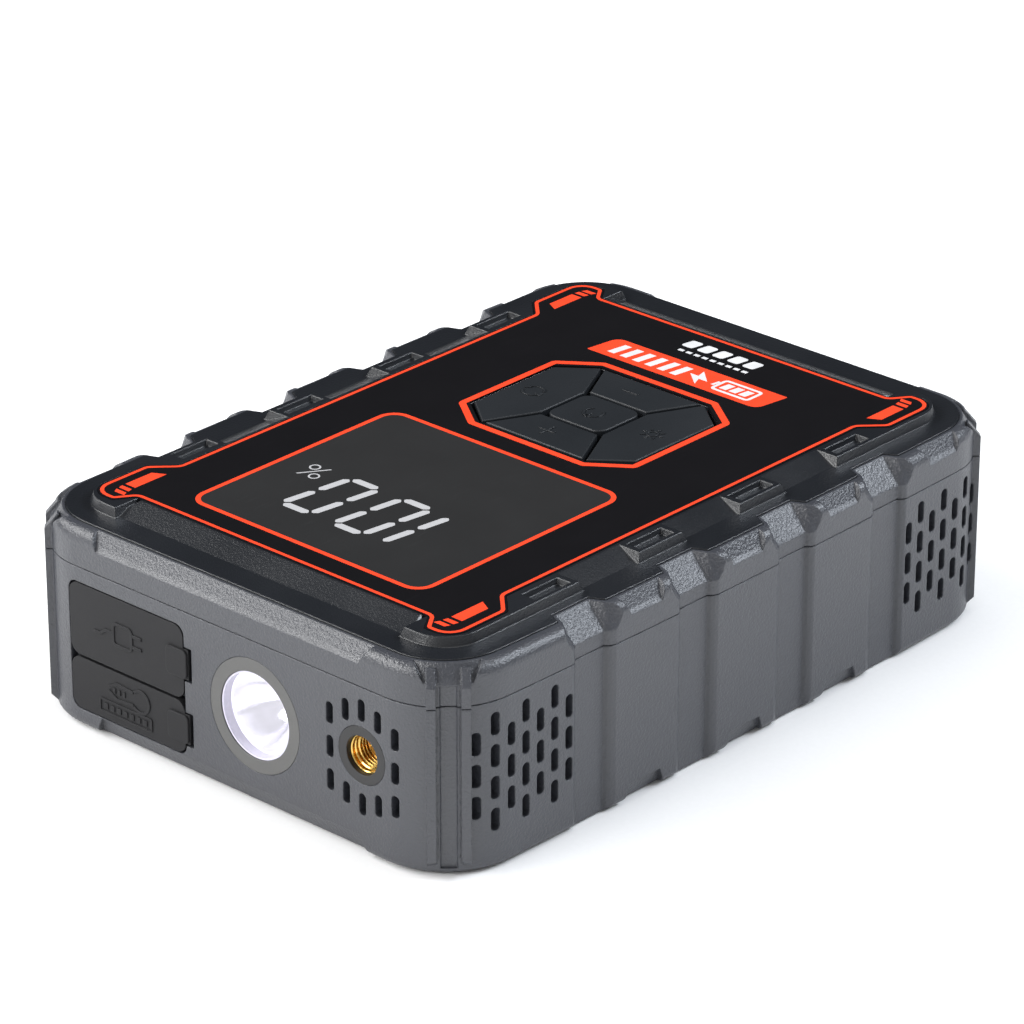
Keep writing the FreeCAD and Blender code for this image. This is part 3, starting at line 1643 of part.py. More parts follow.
def gear_face(teeth, turn):
    """A spur gear's outline from the involute formula, in the plane of Y and Z."""
    module = dims.gear_module.value
    pitch_radius = module * teeth / 2
    base = pitch_radius * math.cos(PRESSURE_ANGLE)
    tip = pitch_radius + ADDENDUM * module
    bottom = pitch_radius - DEDENDUM * module
    half_tooth = math.pi / (2 * teeth) - dims.gear_backlash.value / (2 * pitch_radius)
    start = max(base, bottom)
    flank = []
    for step in range(FLANK_STEPS + 1):
        radius = start + (tip - start) * step / FLANK_STEPS
        half = half_tooth + involute_angle(PRESSURE_ANGLE) - involute_angle(math.acos(base / radius))
        flank.append((radius, half))
    points = []
    for tooth in range(int(teeth)):
        middle = turn + 2 * math.pi * tooth / teeth
        corners = [(bottom, -flank[0][1]), *[(radius, -half) for radius, half in flank]]
        corners += [(radius, half) for radius, half in reversed(flank)]
        corners.append((bottom, flank[0][1]))
        for radius, angle in corners:
            points.append(Vector(0, radius * math.cos(middle + angle), radius * math.sin(middle + angle)))
    clean = [points[0]]
    for point in points[1:]:
        if point.distanceToPoint(clean[-1]) > LEAST_STEP:
            clean.append(point)
    return Part.Face(Part.makePolygon([*clean, clean[0]]))


def gear(name, teeth, spot, thickness, turn):
    """A spur gear whose axis runs along X, placed after its shape is set."""
    item = doc.addObject("Part::Feature", name)
    item.Shape = gear_face(number(teeth), turn).extrude(Vector(thickness.value, 0, 0))
    return place(item, spot)


def inflator():
    """Motor, reduction gear, crank and piston pump; the motor and the crank turn about lines along X."""
    height = INFLATOR_HEIGHT
    along = dims.motor_along
    plate = (dims.frame_left, dims.frame_left + dims.frame_thickness)
    can_start = (plate[1], along, height)
    can = rod("motor_can", dims.motor_radius, can_start, dims.motor_length, "x")
    nose_start = (plate[0], along, height)
    nose = rod("motor_nose", dims.motor_cap_radius, nose_start, dims.frame_thickness * 2, "x")
    tail_start = (plate[1] + dims.motor_length, along, height)
    tail = rod("motor_tail", dims.motor_cap_radius, tail_start, dims.motor_cap_length, "x")
    shaft_bore = rod(
        "motor_bore",
        dims.shaft_radius + dims.tongue_clearance,
        (plate[0] - SPARE, along, height),
        dims.shaft_length + SPARE * 2,
        "x",
    )
    keep("motor_body", cut("motor_body", fuse("motor_solid", can, nose, tail), shaft_bore))
    pinion_left = plate[0] - dims.pinion_length - dims.cell_gap
    pinion = gear("pinion_gear", dims.pinion_teeth, (pinion_left, along, height), dims.pinion_length, 0.0)
    shaft = rod("motor_shaft", dims.shaft_radius, (pinion_left, along, height), dims.shaft_length, "x")
    keep("motor_pinion", fuse("motor_pinion", pinion, shaft))

    crank = (pinion_left + SPARE, CRANK_ALONG, height)
    face = crank[0]
    half_step = math.pi / number(dims.crank_teeth)
    wheel = gear("crank_wheel", dims.crank_teeth, crank, dims.crank_gear_thickness, half_step)
    pin_spot = (face - dims.crank_pin_length, CRANK_ALONG - dims.crank_radius, height)
    pin = rod("crank_pin", dims.crank_pin_radius, pin_spot, dims.crank_pin_length + SPARE, "x")
    weight = box(
        "crank_weight",
        (face - SPARE * 2, face + SPARE),
        (CRANK_ALONG + dims.weight_near, CRANK_ALONG + dims.weight_far),
        around(height, dims.weight_height),
    )
    bore = rod(
        "crank_bore_tool",
        dims.crank_bore + dims.tongue_clearance,
        (face - SPARE * 3, CRANK_ALONG, height),
        dims.crank_gear_thickness + SPARE * 6,
        "x",
    )
    keep("crank_gear", cut("crank_gear", fuse("crank_solid", wheel, pin, weight), bore))
    axle_start = (face - SPARE, CRANK_ALONG, height)
    keep("crank_axle", rod("crank_axle", dims.crank_bore, axle_start, plate[1] - face + SPARE, "x"))

    rod_right = face - dims.crank_pin_length - dims.rod_clearance
    rod_span = (rod_right - dims.rod_thickness, rod_right)
    piston_across = (rod_span[0] + rod_span[1]) / 2
    big_end_along = CRANK_ALONG - dims.crank_radius
    big_end_start = (rod_span[0], big_end_along, height)
    big_end = rod("big_end", dims.big_end_radius, big_end_start, dims.rod_thickness, "x")
    big_hole = rod(
        "big_end_hole",
        dims.crank_pin_radius + dims.tongue_clearance,
        (rod_span[0] - SPARE, big_end_along, height),
        dims.rod_thickness + SPARE * 2,
        "x",
    )
    crown = big_end_along - dims.rod_length
    arm = box("piston_rod", rod_span, (crown, big_end_along), around(height, dims.rod_width))
    disc_start = (piston_across, crown - dims.piston_length, height)
    disc = rod("piston_disc", dims.piston_radius, disc_start, dims.piston_length, "y")
    keep("piston", cut("piston", fuse("piston_solid", big_end, arm, disc), big_hole))

    bore_radius = dims.piston_radius + dims.piston_clearance
    barrel_radius = bore_radius + dims.cylinder_wall
    barrel_end = crown + dims.crank_radius * 2 + dims.cylinder_wall
    barrel_start = crown - dims.piston_length - dims.cylinder_wall
    barrel_length = barrel_end - barrel_start
    barrel = rod("barrel", barrel_radius, (piston_across, barrel_start, height), barrel_length, "y")
    bore_start = (piston_across, barrel_start - SPARE, height)
    barrel_bore = rod("barrel_bore", bore_radius, bore_start, barrel_length + SPARE * 2, "y")
    keep("cylinder", cut("cylinder", barrel, barrel_bore))
    head_front = barrel_start - dims.head_thickness
    head_start = (piston_across, head_front, height)
    head = rod("head_disc", barrel_radius + SPARE, head_start, dims.head_thickness, "y")
    nozzle_along = head_front + dims.head_thickness / 2
    nozzle_end = piston_across + barrel_radius + SPARE + dims.barb_length
    nozzle_start = (piston_across, nozzle_along, height)
    nozzle_length = nozzle_end - piston_across
    nozzle = rod("head_nozzle", dims.nozzle_radius, nozzle_start, nozzle_length, "x")
    duct = rod("head_duct", dims.air_bore, nozzle_start, nozzle_length + SPARE, "x")
    port = rod("head_port", dims.air_bore, nozzle_start, dims.head_thickness, "y")
    keep("cylinder_head", cut("cylinder_head", fuse("head_solid", head, nozzle), duct, port))

    hose_start = nozzle_end - dims.barb_length + dims.cell_gap
    outlet_end = FRONT + dims.fitting_inset + dims.fitting_length + dims.cell_gap
    inner = dims.barb_radius + dims.tongue_clearance
    hose_wall = dims.hose_radius
    bend = dims.outlet_across - hose_start - dims.barb_length
    corner = (dims.outlet_across - bend, nozzle_along - bend, height)
    tubes = []
    for name, radius in (("hose_skin", hose_wall), ("hose_bore", inner)):
        extra = SPARE if name == "hose_bore" else 0.0
        first_start = (hose_start - extra, nozzle_along, height)
        first = rod(f"{name}_first", radius, first_start, corner[0] - hose_start + extra, "x")
        elbow = doc.addObject("Part::Torus", f"{name}_elbow")
        bind(elbow, Radius1=bend, Radius2=radius)
        elbow.Angle3 = QUARTER_TURN
        place(elbow, corner)
        last_start = (dims.outlet_across, outlet_end - extra, height)
        last = rod(f"{name}_last", radius, last_start, corner[1] - outlet_end + extra, "y")
        tubes.append(fuse(name, first, elbow, last))
    keep("air_hose", cut("air_hose", *tubes))

    wall = box(
        "frame_plate",
        plate,
        (barrel_end - dims.frame_collar, along + dims.motor_radius),
        (FLOOR_TOP, height + dims.motor_radius),
    )
    collar = box(
        "frame_collar",
        (piston_across - barrel_radius - dims.frame_margin, plate[1]),
        (barrel_end - dims.frame_collar, barrel_end),
        (FLOOR_TOP, height + barrel_radius + dims.frame_margin),
    )
    foot = box(
        "frame_foot",
        (plate[0], plate[1] + dims.frame_collar * 2),
        (barrel_end - dims.frame_collar, along + dims.motor_radius),
        (FLOOR_TOP, FLOOR_TOP + dims.frame_thickness),
    )
    clear = dims.tongue_clearance
    through = dims.frame_thickness + SPARE * 2
    barrel_spot = (piston_across, barrel_start, height)
    motor_spot = (plate[0] - SPARE, along, height)
    axle_spot = (plate[0] - SPARE, CRANK_ALONG, height)
    keep("gearbox_frame", cut(
        "gearbox_frame",
        fuse("frame_solid", wall, collar, foot),
        rod("frame_barrel_hole", barrel_radius + clear, barrel_spot, barrel_length + SPARE, "y"),
        rod("frame_motor_hole", dims.motor_cap_radius + clear, motor_spot, through, "x"),
        rod("frame_axle_hole", dims.crank_bore + clear, axle_spot, through, "x"),
    ))


def fasteners():
    screws = []
    for index, (x, y) in enumerate(SCREW_SPOTS):
        seat = dims.screw_seat
        head_start = (x, y, seat - dims.screw_head_height)
        head = rod(f"case_screw_head_{index}", dims.screw_head_radius, head_start, dims.screw_head_height)
        shank_start = (x, y, seat - SPARE)
        shank_length = dims.boss_meet + dims.screw_reach
        shank = rod(f"case_screw_shank_{index}", dims.screw_radius, shank_start, shank_length)
        socket_depth = seat - dims.screw_socket_floor
        driver = rod(f"case_screw_socket_{index}", dims.screw_socket_radius, (x, y, 0.0), socket_depth)
        screws.append(cut(f"case_screw_{index}", fuse(f"case_screw_solid_{index}", head, shank), driver))
    keep("case_screws", group("case_screws", *screws))
    feet = [
        rod(f"foot_{index}", dims.foot_radius, (x, y, 0.0), BOTTOM + dims.foot_recess)
        for index, (x, y) in enumerate(FOOT_SPOTS)
    ]
    keep("rubber_feet", group("rubber_feet", *feet))


lower_shell()
upper_shell()
top_tray()
label_plate()
display_parts()
keys()
keypad_web()
covers()
torch()
air_outlet()
sockets()
main_board()
control_board()
battery()
inflator()
fasteners()
doc.recompute()

faults = [item.Name for item in doc.Objects if {"Invalid", "Error"} & set(item.State)]
faults += [label for label, item in parts.items() if item.Shape.isNull() or not item.Shape.isValid()]
if faults:
    raise SystemExit(f"failed objects: {', '.join(faults)}")
os.makedirs("parts", exist_ok=True)
for label, item in parts.items():
    item.Shape.exportStep(os.path.join("parts", f"{label}.step"))
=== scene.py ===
import json
import math

import bmesh
import bpy
from mathutils import Matrix, Vector


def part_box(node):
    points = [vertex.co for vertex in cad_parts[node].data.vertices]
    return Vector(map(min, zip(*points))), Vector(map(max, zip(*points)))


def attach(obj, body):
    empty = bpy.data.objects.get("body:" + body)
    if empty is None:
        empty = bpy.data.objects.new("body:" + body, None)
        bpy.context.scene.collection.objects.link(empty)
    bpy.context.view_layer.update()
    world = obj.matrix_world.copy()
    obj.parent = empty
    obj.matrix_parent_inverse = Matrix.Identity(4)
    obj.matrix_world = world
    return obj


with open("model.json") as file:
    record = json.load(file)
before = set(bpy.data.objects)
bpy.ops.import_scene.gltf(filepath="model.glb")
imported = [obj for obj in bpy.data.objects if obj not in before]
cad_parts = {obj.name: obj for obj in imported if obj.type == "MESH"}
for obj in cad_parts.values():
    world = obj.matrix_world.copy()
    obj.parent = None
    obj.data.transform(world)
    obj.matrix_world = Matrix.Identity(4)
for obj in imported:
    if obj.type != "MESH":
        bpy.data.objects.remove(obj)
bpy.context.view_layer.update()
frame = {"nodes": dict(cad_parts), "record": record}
NODES = frame["nodes"]
MM = 0.001
WHITE = (1.0, 1.0, 1.0)
SKY_BLUE = (0.86, 0.92, 1.0)
MIDDLE_NOISE = (0.3, 0.7)

# ---------------------------------------------------------------------------
# Node helpers: each material is a small graph in object space, so its grain keeps one real scale.


class Graph:
    """A material's node tree, with short ways to add and join nodes."""

    BEVEL_SAMPLES = 4

    def __init__(self, name):
        self.material = bpy.data.materials.new(name)
        self.material.use_nodes = True
        self.tree = self.material.node_tree
        self.tree.nodes.clear()
        self.output = self.add("ShaderNodeOutputMaterial")
        self.shader = self.add("ShaderNodeBsdfPrincipled")
        self.tree.links.new(self.shader.outputs[0], self.output.inputs[0])
        self.place = self.add("ShaderNodeTexCoord").outputs["Object"]

    def add(self, kind, **settings):
        node = self.tree.nodes.new(kind)
        for name, value in settings.items():
            setattr(node, name, value)
        return node

    def feed(self, socket, value):
        """Links another node's socket to this one, or sets this one's plain value."""
        if isinstance(value, bpy.types.NodeSocket):
            self.tree.links.new(value, socket)
        else:
            socket.default_value = value

    def noise(self, size, detail=2.0, roughness=0.5, place=None):
        """Noise whose grains are about size metres across."""
        node = self.add("ShaderNodeTexNoise")
        self.feed(node.inputs["Vector"], place or self.place)
        node.inputs["Scale"].default_value = 1.0 / size
        node.inputs["Detail"].default_value = detail
        node.inputs["Roughness"].default_value = roughness
        return node.outputs[0]

    def cells(self, size):
        """Rounded pits about size metres apart."""
        node = self.add("ShaderNodeTexVoronoi")
        self.feed(node.inputs["Vector"], self.place)
        node.inputs["Scale"].default_value = 1.0 / size
        return node.outputs["Distance"]

    def stretched(self, scale):
        """Object coordinates scaled along each axis, for brushed or drawn grain."""
        node = self.add("ShaderNodeMapping")
        self.feed(node.inputs["Vector"], self.place)
        node.inputs["Scale"].default_value = scale
        return node.outputs[0]

    def math(self, operation, first, second):
        node = self.add("ShaderNodeMath", operation=operation)
        self.feed(node.inputs[0], first)
        self.feed(node.inputs[1], second)
        return node.outputs[0]

    def span(self, value, low, high, to_low, to_high):
        """Maps the range low to high on to to_low to to_high, and holds it there beyond the ends."""
        node = self.add("ShaderNodeMapRange")
        self.feed(node.inputs[0], value)
        for index, number in enumerate((low, high, to_low, to_high), start=1):
            self.feed(node.inputs[index], number)
        return node.outputs[0]

    def mix(self, amount, first, second):
        """Blends two colours."""
        node = self.add("ShaderNodeMix", data_type="RGBA")
        self.feed(node.inputs[0], amount)
        self.feed(node.inputs[6], first)
        self.feed(node.inputs[7], second)
        return node.outputs[2]

    def edges(self, radius):
        """Nearly 1 on sharp edges within this radius, and 0 on flats."""
        flat_cosine, sharp_cosine = 0.995, 0.8
        bevel = self.add("ShaderNodeBevel", samples=self.BEVEL_SAMPLES)
        bevel.inputs["Radius"].default_value = radius
        flat = self.add("ShaderNodeNewGeometry").outputs["Normal"]
        dot = self.add("ShaderNodeVectorMath", operation="DOT_PRODUCT")
        self.feed(dot.inputs[0], bevel.outputs[0])
        self.feed(dot.inputs[1], flat)
        return self.span(dot.outputs["Value"], flat_cosine, sharp_cosine, 0.0, 1.0)

    def bump(self, *layers, soft_edge=0.0):
        """Bump from (height, depth in metres) layers, over edges rounded by soft_edge."""
        normal = None
        if soft_edge:
            bevel = self.add("ShaderNodeBevel", samples=self.BEVEL_SAMPLES)
            bevel.inputs["Radius"].default_value = soft_edge
            normal = bevel.outputs[0]
        for height, depth in layers:
            node = self.add("ShaderNodeBump")
            node.inputs["Distance"].default_value = depth
            node.inputs["Strength"].default_value = 1.0
            self.feed(node.inputs["Height"], height)
            if normal is not None:
                self.feed(node.inputs["Normal"], normal)
            normal = node.outputs[0]
        self.feed(self.shader.inputs["Normal"], normal)

    def set(self, **values):
        """Feeds the shader's inputs by name, such as base_color, and returns the finished material."""
        for name, value in values.items():
            label = name.replace("_", " ").title().replace("Ior", "IOR")
            self.feed(self.shader.inputs[label], value)
        return self.material


def tone(colour, factor):
    """The colour made lighter or darker, with full alpha."""
    return tuple(min(channel * factor, 1.0) for channel in colour[:3]) + (1.0,)


def moulded(name, colour, roughness, grain, grain_depth, wear_and_highlight=0.35, edge=0.3 * MM, shine=0.5):
    """Injection-moulded plastic or rubber: spark-textured grain, faint cloudiness, and lighter edges that
    are partly rubbed wear and partly painted highlight.
    """
    cloud_size, patch_size = 30 * MM, 4 * MM
    # The edge tone on the next line lightens every edge: partly rubbed wear, partly a painted highlight.
    spread, speckle, edge_wear_and_highlight_tone = 0.07, 1.35, 2.1
    cloud_roughness, rubbed_polish = 0.05, 0.12
    pit_size, pit_depth = grain * 1.7, grain_depth * 0.5
    graph = Graph(name)
    clouds = graph.noise(cloud_size, 3.0)
    grains = graph.noise(grain, 2.0, 0.6)
    tint = graph.mix(
        graph.span(clouds, *MIDDLE_NOISE, 0.0, 1.0), tone(colour, 1 - spread), tone(colour, 1 + spread)
    )
    speckled = graph.mix(graph.span(grains, 0.35, 0.7, 0.0, 0.35), tint, tone(colour, speckle))
    # Painted highlight and wear: every sharp edge is lightened, more strongly in some patches.
    wear_and_highlight_patches = graph.span(graph.noise(patch_size, 4.0), 0.42, 0.62, 0.25, 1.0)
    edge_wear_and_highlight = graph.math("MULTIPLY", graph.edges(edge), wear_and_highlight_patches)
    final = graph.mix(graph.math("MULTIPLY", edge_wear_and_highlight, wear_and_highlight), speckled, tone(colour, edge_wear_and_highlight_tone))
    clouded = graph.span(clouds, *MIDDLE_NOISE, roughness - cloud_roughness, roughness + cloud_roughness)
    rough = graph.math("SUBTRACT", clouded, graph.math("MULTIPLY", edge_wear_and_highlight, rubbed_polish))
    graph.bump((grains, grain_depth), (graph.cells(pit_size), pit_depth), soft_edge=edge)
    return graph.set(base_color=final, roughness=rough, specular_ior_level=shine)


def printed(name, colour, roughness=0.42):
    """Screen-printed ink: nearly flat, with a faint screen weave and small density changes."""
    patch_size, screen_size, screen_depth = 3 * MM, 0.25 * MM, 0.004 * MM
    thin_ink, thick_ink, spread = 0.94, 1.05, 0.04
    graph = Graph(name)
    density = graph.noise(patch_size, 3.0)
    screen = graph.noise(screen_size, 1.0)
    thickness = graph.span(density, 0.35, 0.65, 0.0, 1.0)
    tint = graph.mix(thickness, tone(colour, thin_ink), tone(colour, thick_ink))
    graph.bump((screen, screen_depth))
    rough = graph.span(screen, *MIDDLE_NOISE, roughness - spread, roughness + spread)
    return graph.set(base_color=tint, roughness=rough)


def metal(name, colour, roughness, scale=(300, 300, 9000), depth=0.003 * MM):
    """Turned or drawn metal: streaky grain, a little tarnish and bright edges."""
    edge, tarnish_size = 0.15 * MM, 5 * MM
    tarnish_tone, edge_tone, edge_share = 0.72, 1.25, 0.5
    graph = Graph(name)
    streaks = graph.noise(1.0, 3.0, place=graph.stretched(scale))
    tarnish = graph.noise(tarnish_size, 4.0)
    tint = graph.mix(graph.span(tarnish, 0.4, 0.75, 0.0, 0.5), colour, tone(colour, tarnish_tone))
    bright = graph.mix(graph.math("MULTIPLY", graph.edges(edge), edge_share), tint, tone(colour, edge_tone))
    graph.bump((streaks, depth), soft_edge=edge)
    rough = graph.span(streaks, *MIDDLE_NOISE, roughness * 0.7, roughness * 1.4)
    return graph.set(base_color=bright, roughness=rough, metallic=1.0)


def polished(name, colour, roughness, glow):
    """Vacuum-plated reflector: mirror-like, a little wavy, with a faint painted glow that stands in for the
    light it scatters.
    """
    wave_size, wave_depth = 2.5 * MM, 0.03 * MM
    fine_size, fine_depth = 0.4 * MM, 0.002 * MM
    graph = Graph(name)
    waves = graph.noise(wave_size, 2.0)
    fine = graph.noise(fine_size, 1.0)
    graph.bump((waves, wave_depth), (fine, fine_depth))
    tint = graph.mix(graph.span(waves, *MIDDLE_NOISE, 0.0, 1.0), tone(colour, 0.95), colour)
    # Painted light: the reflector glows, though it is no lamp.
    graph.feed(graph.shader.inputs["Emission Color"], tint)
    return graph.set(base_color=tint, roughness=roughness, metallic=1.0, emission_strength=glow)


def clear(name, colour, roughness):
    """Clear moulded plastic with a faint ripple."""
    ripple_size, ripple_depth, refraction = 6 * MM, 0.02 * MM, 1.3
    graph = Graph(name)
    ripple = graph.noise(ripple_size, 2.0)
    tint = graph.mix(graph.span(ripple, *MIDDLE_NOISE, 0.0, 1.0), colour, tone(colour, 0.97))
    graph.bump((ripple, ripple_depth))
    graph.set(base_color=tint, roughness=graph.span(ripple, *MIDDLE_NOISE, roughness, roughness + 0.03))
    return graph.set(transmission_weight=1.0, ior=refraction)


def laminate(name, colour, roughness, scratch_depth=0.002 * MM, shine=0.5):
    """A satin or smoked film: fine haze, a few hair scratches and dust."""
    haze_size, fine_size, hair_scale = 12 * MM, 0.3 * MM, (2600, 90, 90)
    haze_span, haze_roughness, dust_tone = (0.35, 0.7), 0.015, 6.0
    graph = Graph(name)
    haze = graph.noise(haze_size, 4.0)
    fine = graph.noise(fine_size, 2.0)
    hairs = graph.noise(1.0, 2.0, place=graph.stretched(hair_scale))
    tint = graph.mix(graph.span(haze, *haze_span, 0.0, 1.0), tone(colour, 0.97), tone(colour, 1.04))
    dusty = graph.mix(graph.span(hairs, 0.68, 0.76, 0.0, 0.06), tint, tone(colour, dust_tone))
    graph.bump((fine, scratch_depth), (hairs, scratch_depth))
    rough = graph.span(haze, *haze_span, roughness - haze_roughness, roughness + haze_roughness)
    return graph.set(base_color=dusty, roughness=rough, specular_ior_level=shine)


def glowing(name, colour, strength):
    """A lit surface: phosphor, a display's bars or a light-filled wall."""
    grain_size, grain_depth = 0.6 * MM, 0.004 * MM
    graph = Graph(name)
    grain = graph.noise(grain_size, 2.0)
    light = graph.mix(graph.span(grain, *MIDDLE_NOISE, 0.0, 1.0), tone(colour, 0.92), colour)
    graph.feed(graph.shader.inputs["Emission Color"], light)
    graph.bump((grain, grain_depth))
    return graph.set(base_color=light, roughness=0.5, emission_strength=strength)


def board(name, colour):
    """Solder mask with copper tracks showing through."""
    tracks_per_metre, track_depth, haze_size = 260.0, 0.03 * MM, 3 * MM
    graph = Graph(name)
    tracks = graph.add("ShaderNodeTexBrick")
    graph.feed(tracks.inputs["Vector"], graph.place)
    tracks.inputs["Scale"].default_value = tracks_per_metre
    tracks.inputs["Color1"].default_value = tone(colour, 1.0)
    tracks.inputs["Color2"].default_value = tone(colour, 1.5)
    tracks.inputs["Mortar"].default_value = tone(colour, 0.6)
    haze = graph.noise(haze_size, 3.0)
    graph.bump((tracks.outputs["Fac"], track_depth))
    rough = graph.span(haze, *MIDDLE_NOISE, 0.25, 0.45)
    return graph.set(base_color=tracks.outputs["Color"], roughness=rough)


def weave(name, colour):
    """Glass-cloth tape: crossed threads."""
    thread_scale, thread_depth = 600.0, 0.05 * MM
    graph = Graph(name)
    warp = graph.add("ShaderNodeTexWave", bands_direction="X")
    weft = graph.add("ShaderNodeTexWave", bands_direction="Y")
    for wave in (warp, weft):
        graph.feed(wave.inputs["Vector"], graph.place)
        wave.inputs["Scale"].default_value = thread_scale
    cloth = graph.math("MULTIPLY", warp.outputs["Fac"], weft.outputs["Fac"])
    graph.bump((cloth, thread_depth))
    return graph.set(base_color=graph.mix(cloth, tone(colour, 0.7), tone(colour, 1.3)), roughness=0.8)


# ---------------------------------------------------------------------------
# Colours (linear) and materials, one for each slot of the record.

SHELL_GREY = (0.038, 0.0405, 0.049)
TRAY_BLACK = (0.008, 0.0095, 0.0125)
LABEL_BLACK = (0.0058, 0.0055, 0.0066)
ORANGE = (0.84, 0.052, 0.012)
KEY_SLATE = (0.009, 0.0112, 0.0142)
COVER_GREY = (0.015, 0.015, 0.0165)
BEZEL_GREY = (0.092, 0.092, 0.09)
WINDOW_SMOKE = (0.022, 0.022, 0.0225)
OUTLET_BLACK = (0.017, 0.017, 0.018)
PRINT_WHITE = (0.62, 0.62, 0.63)
DIGIT_GREY = (0.4, 0.4, 0.41, 1.0)
LENS_VIOLET = (0.62, 0.6, 0.72, 1.0)
BRASS = (0.85, 0.56, 0.16, 1.0)
STEEL = (0.56, 0.56, 0.57, 1.0)

MATERIALS = {
    # Each wear amount below also sets how strongly every edge is lightened as a painted highlight.
    "shell_plastic": moulded(
        "shell_plastic", SHELL_GREY, 0.37, 0.42 * MM, 0.13 * MM, wear_and_highlight=0.45, edge=0.5 * MM, shine=0.8
    ),
    "tray_plastic": moulded(
        "tray_plastic", TRAY_BLACK, 0.34, 0.4 * MM, 0.05 * MM, wear_and_highlight=0.5, edge=0.4 * MM, shine=0.8
    ),
    "label_film": laminate("label_film", LABEL_BLACK, 0.36, shine=0.2),
    "smoked_window": laminate("smoked_window", WINDOW_SMOKE, 0.3, 0.001 * MM, shine=0.3),
    "key_rubber": moulded("key_rubber", KEY_SLATE, 0.5, 0.3 * MM, 0.008 * MM, wear_and_highlight=0.12),
    "cover_rubber": moulded("cover_rubber", COVER_GREY, 0.6, 0.3 * MM, 0.012 * MM, wear_and_highlight=0.3, shine=0.28),
    "bezel_plastic": moulded("bezel_plastic", BEZEL_GREY, 0.42, 0.3 * MM, 0.01 * MM, wear_and_highlight=0.2),
    "clear_lens": clear("clear_lens", (0.95, 0.94, 1.0, 1.0), 0.0),
    "mirror_metal": polished("mirror_metal", (0.93, 0.93, 0.95, 1.0), 0.12, 0.45),
    "outlet_plastic": moulded("outlet_plastic", OUTLET_BLACK, 0.4, 0.3 * MM, 0.008 * MM, wear_and_highlight=0.2),
    "brass_metal": metal("brass_metal", BRASS, 0.2),
    "steel_metal": metal("steel_metal", STEEL, 0.3),
    "circuit_board": board("circuit_board", (0.012, 0.09, 0.035)),
    "black_plastic": moulded("black_plastic", (0.02, 0.02, 0.021), 0.5, 0.4 * MM, 0.01 * MM),
    "led_yellow": glowing("led_yellow", (0.97, 0.92, 0.7, 1.0), 3.0),
    "cell_foil": metal("cell_foil", (0.72, 0.72, 0.74, 1.0), 0.35, (200, 200, 200), 0.02 * MM),
    "foam_pad": moulded("foam_pad", (0.05, 0.05, 0.05), 0.9, 0.8 * MM, 0.2 * MM),
    "strap_tape": weave("strap_tape", (0.02, 0.05, 0.3)),
    "nylon_gear": moulded("nylon_gear", (0.72, 0.7, 0.62), 0.45, 0.5 * MM, 0.01 * MM, wear_and_highlight=0.0),
    "cast_aluminium": metal("cast_aluminium", (0.6, 0.6, 0.61, 1.0), 0.45, (900, 900, 900), 0.02 * MM),
    "hose_rubber": moulded("hose_rubber", (0.018, 0.018, 0.018), 0.7, 0.4 * MM, 0.01 * MM, wear_and_highlight=0.15),
    "lead_rubber": moulded("lead_rubber", (0.3, 0.012, 0.01), 0.5, 0.4 * MM, 0.01 * MM),
    "coil_ferrite": moulded("coil_ferrite", (0.045, 0.045, 0.05), 0.55, 0.5 * MM, 0.03 * MM),
    "capacitor_can": metal("capacitor_can", (0.5, 0.5, 0.53, 1.0), 0.3),
}
INK = printed("orange_ink", ORANGE)
WHITE_INK = printed("white_ink", PRINT_WHITE, 0.45)
DIGIT_LIGHT = glowing("digit_light", DIGIT_GREY, 0.1)
# Painted light: the lens wall glows, though it is no lamp.
LENS_WALL = glowing("lens_wall", LENS_VIOLET, 0.25)


def finish_nodes():
    """Gives every carried-over node the material of its slot."""
    for part in frame["record"]["subparts"]:
        node = NODES[part["node"]]
        node.data.materials.clear()
        node.data.materials.append(MATERIALS[part["material_slot"]])


# ---------------------------------------------------------------------------
# Mesh helpers. Plan points are millimetres in the frame's X and Y.


def piece(name, mesh_builder, body, material):
    """A separate visible piece, drawn by mesh_builder, that rides on a body."""
    mesh = bpy.data.meshes.new(name)
    work = bmesh.new()
    mesh_builder(work)
    bmesh.ops.recalc_face_normals(work, faces=work.faces)
    work.to_mesh(mesh)
    work.free()
    mesh.materials.append(material)
    thing = bpy.data.objects.new(name, mesh)
    bpy.context.scene.collection.objects.link(thing)
    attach(thing, body)


def slab(work, points, low, high, frame_of=None, bevel=0.0):
    """A flat plate on a closed outline of (u, v) millimetres between two heights."""
    frame_of = frame_of or Matrix.Identity(4)
    bottom = [work.verts.new(frame_of @ Vector((u * MM, v * MM, low * MM))) for u, v in points]
    top = [work.verts.new(frame_of @ Vector((u * MM, v * MM, high * MM))) for u, v in points]
    work.faces.new(bottom[::-1])
    lid = work.faces.new(top)
    count = len(points)
    for index in range(count):
        after = (index + 1) % count
        work.faces.new((bottom[index], bottom[after], top[after], top[index]))
    if bevel:
        bmesh.ops.bevel(
            work, geom=list(lid.edges), offset=bevel * MM, segments=2, profile=0.6, affect="EDGES",
            clamp_overlap=True,
        )


def mitred(points, offset, closed=True):
    """Points moved sideways by offset along a path, with mitred joints."""
    shortest, sharpest = 1e-9, 0.35
    count = len(points)
    moved = []
    for index, point in enumerate(points):
        here = Vector(point)
        before = Vector(points[index - 1]) if closed or index else None
        after = Vector(points[(index + 1) % count]) if closed or index < count - 1 else None
        sides = []
        if before is not None and (here - before).length > shortest:
            sides.append((here - before).normalized())
        if after is not None and (after - here).length > shortest:
            sides.append((after - here).normalized())
        normals = [Vector((-side.y, side.x)) for side in sides]
        middle = sum(normals, Vector((0.0, 0.0))).normalized()
        stretch = 1.0 / max(middle.dot(normals[0]), sharpest)
        moved.append(here + middle * offset * stretch)
    return moved


